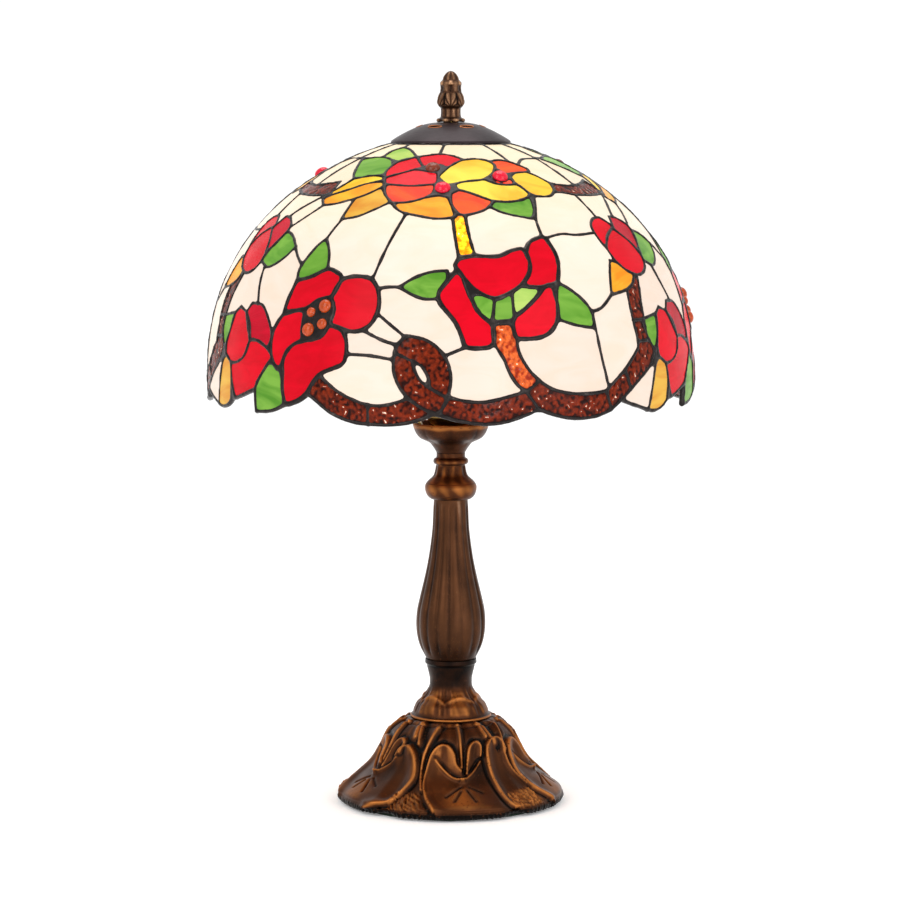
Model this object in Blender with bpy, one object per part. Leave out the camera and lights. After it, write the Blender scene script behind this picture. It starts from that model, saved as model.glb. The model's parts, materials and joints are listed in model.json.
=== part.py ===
"""Stained glass table lamp: leaded dome shade on a fluted cast stand.

Metres, +Z up. The origin is the centre of the underside of the felt pad.
The front of the lamp faces -Y. Azimuth 0 is the front, and grows towards +X.
Profiles are written in millimetres as (radius, height) pairs.
"""
import math

import bmesh
import bpy
from mathutils import Matrix, Vector
from mathutils.geometry import delaunay_2d_cdt

MM = 0.001

# ---- driving dimensions, millimetres ----
GAP = 0.3                 # between pieces that touch
SHADE_RADIUS = 152.5      # outside of the glass dome
SHADE_CENTRE_Z = 268.0    # height of the dome's centre
SHADE_FULLNESS = 0.016    # how far the dome swells past a true sphere
GLASS_THICKNESS = 2.4
SHADE_TOP_LATITUDE = 75.8  # edge of the round opening under the cap, degrees
REPEATS = 3               # the glass pattern repeats three times round
LEAD_INSET = 0.15         # half of the gap between panels, degrees of arc

ROD_RADIUS = 4.8          # threaded tube through the stand
ROD_BORE = 3.1
ROD_HOLE = ROD_RADIUS + 0.5
NUT_HOLE = ROD_HOLE / math.cos(math.radians(30))  # corner radius of a six-sided hole
FELT_THICKNESS = 1.2
BASE_BOTTOM = FELT_THICKNESS + GAP
BASE_TOP = 53.7
BASE_LOBES = 5
BASE_LOBE_DEPTH = 0.055   # how far the rim draws in between two lobes
FLUTES = 10               # around the column
HARP_LEG_X = 33.0         # harp legs stand either side of the socket
HARP_WIRE_RADIUS = 1.9
HARP_SEAT_TOP = 413.5
HARP_STRIP_HALF_WIDTH = 7.0
SOCKET_RADIUS = 18.2
KEY_Z = 256.5             # turn key of the socket
GROMMET_Z = 6.6           # cord inlet at the rear of the base
GROMMET_HOLE = 3.9

for leftover in list(bpy.data.objects):
    bpy.data.objects.remove(leftover, do_unlink=True)


# ---- materials ----
def metal(name, colour, roughness):
    return material(name, colour, roughness, metallic=1.0)


def material(name, colour, roughness, metallic=0.0, transmission=0.0, glow=0.0):
    made = bpy.data.materials.new(name)
    made.use_nodes = True
    shader = made.node_tree.nodes["Principled BSDF"]
    shader.inputs["Base Color"].default_value = (*colour, 1.0)
    shader.inputs["Roughness"].default_value = roughness
    shader.inputs["Metallic"].default_value = metallic
    shader.inputs["Transmission Weight"].default_value = transmission
    shader.inputs["Emission Color"].default_value = (*colour, 1.0)
    shader.inputs["Emission Strength"].default_value = glow
    made.diffuse_color = (*colour, 1.0)
    return made


BRONZE = metal("antique_bronze", (0.20, 0.10, 0.045), 0.42)
DARK_METAL = metal("dark_patina", (0.06, 0.05, 0.045), 0.4)
BRASS = metal("brass", (0.72, 0.50, 0.20), 0.3)
STEEL = metal("steel", (0.55, 0.55, 0.55), 0.35)
IRON = metal("cast_iron", (0.10, 0.10, 0.10), 0.7)
FELT = material("felt", (0.02, 0.05, 0.03), 0.95)
RUBBER = material("rubber", (0.02, 0.02, 0.02), 0.8)
PLASTIC = material("black_plastic", (0.03, 0.03, 0.03), 0.45)
BULB = material("bulb_glass", (1.0, 0.93, 0.80), 0.3, transmission=0.3, glow=0.5)
GLASS = {
    "ivory": material("ivory_glass", (0.95, 0.88, 0.74), 0.25, transmission=0.2),
    "ruby": material("ruby_glass", (0.70, 0.01, 0.03), 0.2, transmission=0.2),
    "green": material("green_glass", (0.20, 0.42, 0.08), 0.2, transmission=0.2),
    "amber": material("amber_glass", (0.90, 0.35, 0.06), 0.2, transmission=0.2),
    "brown": material("brown_glass", (0.16, 0.03, 0.01), 0.2, transmission=0.2),
}


# ---- mesh helpers ----
def add_object(name, bm, surface, smooth_angle=35.0):
    """Close the mesh's normals outward and give it an object and a material."""
    bmesh.ops.recalc_face_normals(bm, faces=bm.faces)
    mesh = bpy.data.meshes.new(name)
    bm.to_mesh(mesh)
    bm.free()
    mesh.shade_smooth()
    mesh.set_sharp_from_angle(angle=math.radians(smooth_angle))
    mesh.materials.append(surface)
    made = bpy.data.objects.new(name, mesh)
    bpy.context.scene.collection.objects.link(made)
    return made


def turned(name, outline, surface, segments=32, relief=None, place=None):
    """Turn a closed (radius, height) outline about an axis.

    A point with radius 0 closes on the axis. relief(radius, height, azimuth)
    may return a changed (radius, height). place is a Matrix in metres.
    """
    bm = bmesh.new()
    rings = []
    for radius, height in outline:
        count = segments if radius > 0 else 1
        ring = []
        for k in range(count):
            azimuth = 2 * math.pi * k / segments
            r, z = relief(radius, height, azimuth) if relief and radius > 0 else (radius, height)
            ring.append(bm.verts.new((r * math.sin(azimuth) * MM, -r * math.cos(azimuth) * MM, z * MM)))
        rings.append(ring)
    for lower, upper in zip(rings, rings[1:] + rings[:1]):
        if len(lower) == 1 and len(upper) == 1:
            continue
        for k in range(segments):
            a = lower[k % len(lower)]
            b = lower[(k + 1) % len(lower)]
            c = upper[(k + 1) % len(upper)]
            d = upper[k % len(upper)]
            corners = list(dict.fromkeys((a, b, c, d)))
            bm.faces.new(corners)
    if place is not None:
        bm.transform(place)
    return add_object(name, bm, surface)


def swept(name, path, radius, surface, sides=10):
    """A round wire along a list of points in millimetres, with flat ends."""
    bm = bmesh.new()
    rings = []
    side = Vector((0, 1, 0))
    for k, point in enumerate(path):
        before = Vector(path[max(k - 1, 0)])
        after = Vector(path[min(k + 1, len(path) - 1)])
        along = (after - before).normalized()
        across = along.cross(side).normalized()
        ring = []
        for s in range(sides):
            turn = 2 * math.pi * s / sides
            offset = (across * math.cos(turn) + side * math.sin(turn)) * radius
            ring.append(bm.verts.new((Vector(point) + offset) * MM))
        rings.append(ring)
    for lower, upper in zip(rings, rings[1:]):
        for s in range(sides):
            bm.faces.new((lower[s], lower[(s + 1) % sides], upper[(s + 1) % sides], upper[s]))
    bm.faces.new(rings[0])
    bm.faces.new(rings[-1])
    return add_object(name, bm, surface)


def smooth_path(points, steps):
    """Catmull-Rom curve through hand-placed points."""
    out = []
    padded = [points[0]] + list(points) + [points[-1]]
    for a, b, c, d in zip(padded, padded[1:], padded[2:], padded[3:]):
        a, b, c, d = Vector(a), Vector(b), Vector(c), Vector(d)
        for k in range(steps):
            t = k / steps
            out.append(0.5 * ((2 * b) + (c - a) * t + (2 * a - 5 * b + 4 * c - d) * t * t
                              + (3 * b - a - 3 * c + d) * t ** 3))
    out.append(Vector(points[-1]))
    return [tuple(point) for point in out]


def combine(target, tool, operation):
    """Change the target with another solid, which stays in the file as a hidden guide."""
    tool.hide_render = True
    tool.display_type = "WIRE"
    change = target.modifiers.new(operation.lower(), "BOOLEAN")
    change.operation = operation
    change.solver = "EXACT"
    change.object = tool


def cut(target, cutter):
    combine(target, cutter, "DIFFERENCE")


def join(target, addition):
    combine(target, addition, "UNION")


def facing(start, towards_y):
    """Lays an upright piece along Y from a (x, y, z) point: 1 to the rear, -1 to the front."""
    lean = math.radians(-90 * towards_y)
    return Matrix.Translation(Vector(start) * MM) @ Matrix.Rotation(lean, 4, "X")


def rod_cutter(name, radius, start, end, segments=20):
    """A cylinder along Y between two (x, y, z) points in millimetres."""
    length = end[1] - start[1]
    outline = [(0, 0), (radius, 0), (radius, length), (0, length)]
    return turned(name, outline, PLASTIC, segments, place=facing(start, 1))


# ---- base ----
def rim_lobes(radius, height, azimuth):
    """Draw the base's rim in between its five lobes, less towards the top."""
    reach = min(max((44.0 - height) / 26.0, 0.0), 1.0)
    valley = 0.5 - 0.5 * math.cos(BASE_LOBES * azimuth)
    small_lobe = 0.5 - 0.5 * math.cos(2 * BASE_LOBES * azimuth)
    draw_in = BASE_LOBE_DEPTH * (0.55 * valley + 0.45 * small_lobe)
    return radius * (1 - reach * draw_in), height


def base():
    """Lobed cast shell over an iron weight, felt pad, nut, cord inlet and the long rod."""
    outside = [(70.0, BASE_BOTTOM), (71.4, 4.4), (71.0, 7.0), (68.3, 9.6), (61.7, 14.8), (55.7, 20.0),
               (49.0, 25.5), (44.5, 33.0), (41.0, 40.0), (37.6, 46.0), (33.6, 50.4), (27.5, BASE_TOP)]
    inside = [(ROD_HOLE, BASE_TOP), (ROD_HOLE, 50.0), (26.0, 49.0), (35.0, 41.0), (40.0, 28.0),
              (47.0, 18.0), (58.0, 9.5), (63.0, BASE_BOTTOM)]
    shell = turned("base_shell", outside + inside, BRONZE, 40, relief=rim_lobes)
    cut(shell, rod_cutter("grommet_hole_cutter", GROMMET_HOLE, (0, 50, GROMMET_Z), (0, 85, GROMMET_Z)))

    turned("base_weight", [(ROD_HOLE, 9.0), (36.0, 9.0), (37.0, 10.0), (37.0, 27.0), (34.0, 29.0),
                           (14.0, 31.0), (12.0, 33.0), (12.0, 49.0), (ROD_HOLE, 49.0)], IRON, 28)
    turned("base_felt", [(0, 0), (66.0, 0), (66.0, FELT_THICKNESS), (0, FELT_THICKNESS)], FELT, 40,
           relief=rim_lobes)
    turned("bottom_nut", [(NUT_HOLE, 3.2), (10.4, 3.2), (10.4, 8.7), (NUT_HOLE, 8.7)], STEEL, 6)
    turned("cord_grommet", [(2.4, 0), (GROMMET_HOLE - GAP, 0), (GROMMET_HOLE - GAP, 10.4),
                            (4.9, 10.4), (4.9, 12.0), (2.4, 12.0)], RUBBER, 20,
           place=facing((0, 60, GROMMET_Z), 1))
    turned("threaded_rod", [(ROD_BORE, 4.0), (ROD_RADIUS, 4.0), (ROD_RADIUS, 238.0),
                            (ROD_BORE, 238.0)], STEEL, 20)


# ---- column ----
def flutes(radius, height, azimuth):
    """Shallow hollows down the column, fading out at both ends."""
    fade = math.sin(math.pi * min(max((height - 93.0) / 98.0, 0.0), 1.0)) ** 0.5
    if radius <= ROD_HOLE:
        return radius, height
    return radius - 0.9 * fade * (0.5 - 0.5 * math.cos(FLUTES * azimuth)), height


def column():
    """Waisted neck, fluted body, knob and the cup that hides the socket's foot."""
    turned("foot_neck", [(ROD_HOLE, 54.0), (25.4, 54.0), (25.4, 56.0), (23.8, 57.4), (21.3, 62.6),
                         (18.8, 65.0), (16.3, 68.0), (15.0, 70.0), (13.5, 73.0), (13.5, 78.0),
                         (14.4, 83.0), (15.3, 86.0), (16.2, 88.0), (16.2, 91.0),
                         (ROD_HOLE, 91.0)], BRONZE, 28)
    turned("column_body", [(ROD_HOLE, 91.3), (16.0, 91.3), (16.9, 93.5), (19.4, 98.6), (20.7, 104.0),
                           (21.9, 111.0), (21.9, 119.0), (20.6, 126.0), (18.5, 134.5), (16.0, 145.0),
                           (14.1, 155.0), (12.5, 165.0), (11.3, 175.0), (10.9, 186.0), (10.7, 192.7),
                           (ROD_HOLE, 192.7)], BRONZE, 40, relief=flutes)
    turned("column_knob", [(ROD_HOLE, 193.0), (13.5, 193.0), (15.3, 196.0), (16.2, 199.5), (14.7, 203.0),
                           (12.2, 206.0), (10.0, 208.0), (9.4, 211.0), (9.1, 213.5), (10.7, 215.6),
                           (10.7, 218.4), (9.1, 220.5), (9.1, 222.0), (ROD_HOLE, 222.0)], BRONZE, 28)
    turned("husk_cup", [(ROD_HOLE, 222.3), (9.1, 222.3), (10.0, 223.6), (11.6, 226.0), (13.5, 228.7),
                        (18.8, 231.0), (21.9, 234.2), (23.8, 239.6), (23.6, 240.9), (22.7, 241.0),
                        (21.9, 237.8), (20.4, 234.6), (17.6, 232.2), (14.6, 230.6), (ROD_HOLE, 230.4)],
           BRONZE, 32)


# ---- harp ----
def harp():
    """Saddle, wire loop, threaded stud and the two sliding ferrules at its feet."""
    right = [(9.0, 230.8), (17.0, 235.5), (20.8, 242.2), (30.5, 245.2), (35.0, 246.0),
             (35.0, 247.2), (30.2, 246.6), (19.9, 243.4), (15.9, 236.4), (8.6, 232.2)]
    left = [(-x, z) for x, z in reversed(right)]
    bm = bmesh.new()
    rings = []
    for y in (-HARP_STRIP_HALF_WIDTH, HARP_STRIP_HALF_WIDTH):
        rings.append([bm.verts.new((x * MM, y * MM, z * MM)) for x, z in right + left])
    count = len(rings[0])
    for k in range(count):
        bm.faces.new((rings[0][k], rings[0][(k + 1) % count], rings[1][(k + 1) % count], rings[1][k]))
    bm.faces.new(rings[0])
    bm.faces.new(rings[1])
    saddle = add_object("harp_saddle", bm, BRASS)
    hole = turned("saddle_hole_cutter", [(0, 225), (ROD_HOLE, 225), (ROD_HOLE, 240), (0, 240)], STEEL, 20)
    cut(saddle, hole)
    for side in (-1, 1):
        peg = turned("saddle_peg_cutter_" + str(side), [(0, 246.5), (1.9, 246.5), (1.9, 254.0), (0, 254.0)],
                     BRASS, 12, place=Matrix.Translation((side * HARP_LEG_X * MM, 0, 0)))
        join(saddle, peg)
    turned("saddle_lock_nut", [(NUT_HOLE, 232.5), (9.0, 232.5), (9.0, 235.5), (NUT_HOLE, 235.5)], STEEL, 6)

    half = [(HARP_LEG_X, 0, 254.4), (HARP_LEG_X, 0, 268), (HARP_LEG_X, 0, 282), (42, 0, 301), (51.5, 0, 322),
            (55, 0, 345), (51, 0, 369), (39, 0, 391), (22, 0, 404.5), (0, 0, 409.7)]
    whole = half + [(-x, y, z) for x, y, z in reversed(half[:-1])]
    swept("harp_wire", smooth_path(whole, 3), HARP_WIRE_RADIUS, BRASS, 8)
    turned("harp_stud", [(0, 411.9), (8.0, 411.9), (8.0, HARP_SEAT_TOP), (2.9, HARP_SEAT_TOP),
                         (2.9, 434.0), (0, 434.0)], BRASS, 16)
    for name, side in (("left_ferrule", -1), ("right_ferrule", 1)):
        place = Matrix.Translation((side * HARP_LEG_X * MM, 0, 0))
        turned(name, [(2.6, 247.6), (4.2, 247.6), (4.2, 263.0), (2.6, 263.0)], BRASS, 14, place=place)


# ---- socket and bulb ----
def socket():
    """Cap, shell, insulator, screw shell, contact and turn key."""
    turned("socket_cap", [(ROD_HOLE, 235.8), (8.4, 235.8), (8.8, 238.0), (12.5, 240.5), (16.4, 245.0),
                          (17.0, 247.0), (17.0, 251.4), (15.9, 251.4), (15.9, 247.4), (12.0, 242.6),
                          (7.6, 240.4), (ROD_HOLE, 240.4)], BRASS, 28)
    shell = turned("socket_shell", [(17.4, 246.8), (SOCKET_RADIUS, 246.8), (SOCKET_RADIUS, 290.0),
                                    (17.4, 290.0)], BRASS, 28)
    body = turned("socket_insulator", [(4.0, 251.8), (17.0, 251.8), (17.0, 291.5), (16.0, 291.5),
                                       (16.0, 261.0), (4.0, 261.0)], PLASTIC, 28)
    turned("screw_shell", [(13.4, 261.4), (14.2, 261.4), (14.2, 288.5), (13.4, 288.5)], BRASS, 24)
    turned("centre_contact", [(0, 258.0), (3.5, 258.0), (3.5, 262.4), (0, 262.9)], BRASS, 12)
    hole = rod_cutter("key_hole_cutter", 2.9, (0, -24, KEY_Z), (0, -11, KEY_Z))
    cut(shell, hole)
    cut(body, hole)
    key = [(0, 0), (2.5, 0), (2.5, 16.0), (3.4, 17.5), (3.4, 20.0), (0, 20.0)]
    made = turned("switch_key", key, PLASTIC, 16, place=facing((0, -12.5, KEY_Z), -1))
    bm = bmesh.new()
    bmesh.ops.create_cube(bm, size=1.0)
    bm.transform(Matrix.Translation(Vector((0, -37.5, KEY_Z)) * MM)
                 @ Matrix.Diagonal((15 * MM, 12 * MM, 3.4 * MM, 1)))
    bmesh.ops.bevel(bm, geom=[e for e in bm.edges if abs(e.verts[0].co.z - e.verts[1].co.z) > MM],
                    offset=3.5 * MM, segments=3, affect="EDGES")
    join(made, add_object("thumb_piece_cutter", bm, PLASTIC))


def bulb():
    """Screw base and glass envelope."""
    turned("bulb_base", [(0, 263.3), (4.5, 263.5), (9.5, 267.0), (13.0, 268.5), (13.0, 288.6),
                         (12.0, 289.2), (0, 289.2)], STEEL, 24)
    turned("bulb_glass", [(0, 289.5), (12.4, 289.5), (13.2, 293.0), (16.5, 302.0), (23.0, 315.0),
                          (28.6, 328.0), (30.0, 338.0), (28.6, 350.0), (24.0, 360.0), (16.0, 368.0),
                          (7.5, 371.8), (0, 372.6)], BULB, 28)


# ---- top of the shade ----
def shade_top():
    """Ring under the glass, domed cap and finial."""
    turned("shade_top_ring", [(3.4, 413.8), (35.6, 413.8), (35.6, 415.4), (3.4, 415.4)], BRASS, 36)
    turned("shade_cap", [(35.9, 416.5), (37.2, 416.5), (36.8, 417.4), (32.0, 421.0), (25.0, 424.6),
                         (17.5, 427.8), (11.0, 429.0), (3.4, 429.2), (3.4, 427.9), (11.0, 427.7),
                         (17.0, 426.5), (24.4, 423.4), (31.2, 420.0)], DARK_METAL, 36)
    turned("finial", [(3.2, 429.5), (8.6, 429.5), (9.0, 430.6), (6.9, 431.4), (6.0, 433.0), (5.6, 436.8),
                      (6.3, 438.6), (8.1, 440.5), (8.5, 443.0), (7.5, 446.0), (6.6, 448.0), (6.3, 450.0),
                      (6.6, 453.5), (5.0, 455.6), (3.1, 459.0), (0, 461.0), (0, 436.0),
                      (3.2, 436.0)], BRONZE, 20)


# ---- glass dome ----
# Lead lines of one repeat as (azimuth, latitude) in degrees. Latitude 0 is the
# dome's widest circle. A line that ends on another shares that line's point.
HEM = [(-78.2, -0.7), (-71.5, -2.8), (-66, -4), (-61, -2), (-57, -1), (-50.5, 1.3), (-50.2, -3.9),
       (-45, -3.4), (-41.2, -2), (-38.5, -1.3), (-34, 1.2), (-28, -2.8), (-22, -4.8), (-14, -5.2),
       (-7, -3.9), (-3, -2.6), (5, -4.6), (13, -4.3), (20, -2), (27, -4), (35, -3.9)]
ROSE = [(-61, -2), (-61.5, 4), (-64.5, 8), (-63.8, 14), (-60.5, 19.2), (-55.5, 20.3), (-49, 18.5),
        (-45.8, 14.5), (-46, 9.5), (-48, 4.5), (-50.5, 1.3)]
STAR_LEFT = [(-41.2, -2), (-42, 6), (-46, 9.5)]
STAR_RIGHT = [(-45.8, 14.5), (-42.8, 18.3), (-41.2, 26.3), (-33.5, 29), (-28, 27), (-23.5, 27.8),
              (-17.8, 25), (-17.2, 19.5), (-20.5, 15.6), (-24, 12.5), (-24.8, 8), (-32, 4), (-34, 1.2)]
HEART = [(1, 30.8), (4, 32.8), (13, 33), (19, 34.8), (27.5, 37.8), (28.8, 34), (27, 26), (25.5, 19.5),
         (21.5, 15), (13.5, 17), (10.5, 16.5), (8.7, 12.7), (3.3, 13), (-1, 21), (-2.8, 25), (1, 30.8)]
BUD = [(-74.7, 39), (-71, 42.5), (-62, 42.5), (-56, 41), (-54.8, 38), (-58, 33), (-60, 28.5), (-66, 27),
       (-71.5, 29.5), (-74.2, 36), (-74.7, 39)]
CROWN = [(-31, 60.5), (-28.5, 65), (-14, 68.2), (0, 68.3), (10, 66.5), (22, 65.3), (32, 64.8), (39, 61),
         (41, 55), (38, 50.3), (25, 48.7), (14, 48), (3, 44.2), (-10, 44), (-16, 45), (-23, 49),
         (-27, 54), (-31, 60.5)]
RIBBON_TOP = [(-32, 4), (-26, 2), (-18, -0.9), (-11.5, 0.5), (-12.8, 7.5), (-12.3, 12), (-6, 13.8),
              (-1, 9.5), (-0.5, 1.5), (7, 0), (17, 2.1), (22.5, 2.8), (30, 1.2), (37, 1.6), (43, 6),
              (48, 11), (47.5, 17), (48.5, 23), (48.5, 29.5)]
RIBBON_RIGHT = [(41.8, -0.7), (48, 4.3), (53.5, 10), (52, 17), (54, 27)]
GROUND_LINES = [
    [(-28, 27), (-19, 36), (-16, 45)],
    [(-56, 41), (-52, 47), (-40, 51), (-27, 54)],
    [(4, 32.8), (3, 44.2)],
    [(10.5, 16.5), (13, 6.5), (17, 2.1)],
    [(41, 55), (49, 42.5)],
    [(32, 64.8), (31, SHADE_TOP_LATITUDE)],
]
LEADS = [ROSE, STAR_LEFT, STAR_RIGHT, HEART, BUD, CROWN, RIBBON_TOP, RIBBON_RIGHT] + GROUND_LINES

# One point inside each panel of a repeat, and its glass.
PANELS = [
    ("rose", -55, 10, "ruby"),
    ("leaf", -46, 0, "green"),
    ("star_flower", -33, 17, "ruby"),
    ("heart_flower", 12, 25, "ruby"),
    ("bud", -65, 35, "ruby"),
    ("crown_flower", 5, 56, "amber"),
    ("ribbon", -20, -3, "brown"),
    ("upper_ground", 60, 62, "ivory"),
    ("left_ground", -45, 35, "ivory"),
    ("middle_ground", -14, 25, "ivory"),
    ("right_ground", 38, 28, "ivory"),
]
LEAD_STEP = 5.5           # longest straight run along a lead line, degrees
FIELD_STEP = 8.5          # spacing of points inside a panel, degrees


def to_plane(azimuth, latitude):
    """Unroll the dome: distance from the middle is the angle from the top."""
    reach = 90.0 - latitude
    angle = math.radians(azimuth)
    return Vector((reach * math.sin(angle), -reach * math.cos(angle)))


def to_dome(point, depth):
    """Plane point back onto the dome, depth millimetres below its outside."""
    reach = math.radians(point.length)
    latitude = 90.0 - point.length
    swell = math.sin(math.pi * min(max((latitude + 5.0) / 70.0, 0.0), 1.0)) ** 2
    radius = SHADE_RADIUS * (1.0 + SHADE_FULLNESS * swell) - depth
    outward = point.normalized()
    across = radius * math.sin(reach)
    height = SHADE_CENTRE_Z + radius * math.cos(reach)
    return Vector((outward.x * across, outward.y * across, height)) * MM


def divided(line):
    """A lead line in the plane, with points no farther apart than LEAD_STEP."""
    corners = [to_plane(*corner) for corner in line]
    points = [corners[0]]
    for start, end in zip(corners, corners[1:]):
        steps = max(1, math.ceil((end - start).length / LEAD_STEP))
        points += [start.lerp(end, k / steps) for k in range(1, steps + 1)]
    return points


def shifted(line, repeat):
    """The same line in another repeat of the pattern."""
    return [(azimuth + repeat * 360.0 / REPEATS, latitude) for azimuth, latitude in line]


def lead_network():
    """Every lead line of the whole dome as plane points and edges."""
    lines = []
    for repeat in range(REPEATS):
        hem_end = (HEM[0][0] + 360.0 / REPEATS, HEM[0][1])
        lines.append(divided(shifted(HEM + [hem_end], repeat)))
        lines += [divided(shifted(line, repeat)) for line in LEADS]
    crown_edge = [(k * 10.0 + 1.0, SHADE_TOP_LATITUDE) for k in range(37)]
    lines.append([to_plane(*point) for point in crown_edge])
    points = []
    edges = []
    places = {}
    for line in lines:
        ids = []
        for point in line:
            key = (round(point.x, 2), round(point.y, 2))
            if key not in places:
                places[key] = len(points)
                points.append(point)
            ids.append(places[key])
        edges += [(a, b) for a, b in zip(ids, ids[1:]) if a != b]
    return points, edges


def field_points(lead_points):
    """Evenly spread points between the lead lines, so that panels can curve."""
    found = []
    rows = int(100 / FIELD_STEP)
    for row in range(-rows, rows + 1):
        for column_index in range(-rows, rows + 1):
            x = (column_index + 0.5 * (row % 2)) * FIELD_STEP
            point = Vector((x, row * FIELD_STEP * 0.87))
            if not 18.0 < point.length < 88.0:
                continue
            if min((point - lead).length for lead in lead_points) > 0.5 * FIELD_STEP:
                found.append(point)
    return found


def inside(point, a, b, c):
    """Whether a plane point lies in a triangle."""
    signs = [(q - p).cross(point - p) > 0 for p, q in ((a, b), (b, c), (c, a))]
    return signs[0] == signs[1] == signs[2]


def panel_triangles():
    """Triangles of the plane, grouped into panels by the lead lines."""
    points, edges = lead_network()
    everything = points + field_points(points)
    cdt = delaunay_2d_cdt(everything, edges, [], 0, 0.001, True)
    verts, made_edges, triangles, source_edges = cdt[0], cdt[1], cdt[2], cdt[4]
    walls = {tuple(sorted(edge)) for edge, source in zip(made_edges, source_edges) if source}
    neighbours = {}
    for index, triangle in enumerate(triangles):
        for a, b in zip(triangle, list(triangle[1:]) + [triangle[0]]):
            neighbours.setdefault(tuple(sorted((a, b))), []).append(index)
    region = {}
    for seed in range(len(triangles)):
        if seed in region:
            continue
        region[seed] = seed
        stack = [seed]
        while stack:
            triangle = triangles[stack.pop()]
            for a, b in zip(triangle, list(triangle[1:]) + [triangle[0]]):
                edge = tuple(sorted((a, b)))
                if edge in walls:
                    continue
                for other in neighbours[edge]:
                    if other not in region:
                        region[other] = seed
                        stack.append(other)
    return verts, triangles, region


def panel(name, verts, triangles, surface):
    """One glass panel: the triangles on two skins, joined round the edge."""
    border = {}
    for triangle in triangles:
        for a, b in zip(triangle, list(triangle[1:]) + [triangle[0]]):
            border[(a, b)] = border.get((a, b), 0) + 1
    rim = [(a, b) for a, b in border if (b, a) not in border]
    inward = {}
    for a, b in rim:
        along = (verts[b] - verts[a]).normalized()
        normal = Vector((-along.y, along.x))
        for corner in (a, b):
            inward.setdefault(corner, []).append(normal)
    place = {}
    for corner in {v for triangle in triangles for v in triangle}:
        point = verts[corner].copy()
        if corner in inward:
            push = inward[corner][0] + inward[corner][-1]
            size = max(push.length_squared, 0.5)
            point += push * (2.0 * LEAD_INSET / size)
        place[corner] = point
    bm = bmesh.new()
    skins = []
    for depth in (0.0, GLASS_THICKNESS):
        skins.append({corner: bm.verts.new(to_dome(point, depth)) for corner, point in place.items()})
    for triangle in triangles:
        bm.faces.new([skins[0][corner] for corner in triangle])
        bm.faces.new([skins[1][corner] for corner in reversed(triangle)])
    for a, b in rim:
        bm.faces.new((skins[0][b], skins[0][a], skins[1][a], skins[1][b]))
    add_object(name, bm, surface)


def glass_dome():
    """Every panel of the shade, named with the number of its repeat."""
    verts, triangles, region = panel_triangles()
    for repeat in range(REPEATS):
        for name, azimuth, latitude, glass in PANELS:
            seed = to_plane(azimuth + repeat * 360.0 / REPEATS, latitude)
            for index, (a, b, c) in enumerate(triangles):
                if inside(seed, verts[a], verts[b], verts[c]):
                    chosen = region[index]
                    break
            members = [t for k, t in enumerate(triangles) if region[k] == chosen]
            panel(name + "_" + str(repeat + 1), verts, members, GLASS[glass])


base()
column()
harp()
socket()
bulb()
shade_top()
glass_dome()
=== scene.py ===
"""Looks of the stained glass table lamp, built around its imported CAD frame.

Metres, +Z up, the front of the lamp faces -Y. Profiles and the glass pattern are
written in millimetres and degrees. Azimuth 0 is the front and grows towards +X.
Latitude 0 is the widest circle of the shade's dome, and 90 is its top.
"""
import json
import math
import random

import bmesh
import bpy
import numpy as np
from mathutils import Matrix, Vector, noise
from mathutils.geometry import delaunay_2d_cdt


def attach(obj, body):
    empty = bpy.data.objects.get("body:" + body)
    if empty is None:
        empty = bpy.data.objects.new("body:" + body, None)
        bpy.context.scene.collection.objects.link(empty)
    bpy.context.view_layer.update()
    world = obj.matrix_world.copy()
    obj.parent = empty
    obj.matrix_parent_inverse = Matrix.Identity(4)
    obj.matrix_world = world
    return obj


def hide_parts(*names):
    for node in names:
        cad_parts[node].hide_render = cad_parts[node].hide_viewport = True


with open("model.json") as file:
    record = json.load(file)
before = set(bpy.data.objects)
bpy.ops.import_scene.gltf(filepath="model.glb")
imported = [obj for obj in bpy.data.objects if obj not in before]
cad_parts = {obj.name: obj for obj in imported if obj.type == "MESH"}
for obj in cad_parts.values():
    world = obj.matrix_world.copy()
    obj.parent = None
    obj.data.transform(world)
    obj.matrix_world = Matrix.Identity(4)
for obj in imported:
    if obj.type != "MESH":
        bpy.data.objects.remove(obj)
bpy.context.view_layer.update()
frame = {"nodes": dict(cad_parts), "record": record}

MM = 0.001
REPEATS = 3                      # the glass pattern repeats three times round
REPEAT_ANGLE = 360.0 / REPEATS

# ---- the dome, the same as the CAD's ----
SHADE_RADIUS = 152.5
SHADE_CENTRE_Z = 268.0
SHADE_FULLNESS = 0.016
SHADE_TOP_LATITUDE = 75.8
GLASS_THICKNESS = 2.4


# ======================= colour and material helpers =======================
def rgb(red, green, blue):
    """Display colour, 0 to 255, to the linear colour that shaders use."""
    out = []
    for value in (red, green, blue):
        v = value / 255.0
        out.append(v / 12.92 if v <= 0.04045 else ((v + 0.055) / 1.055) ** 2.4)
    return (*out, 1.0)


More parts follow.
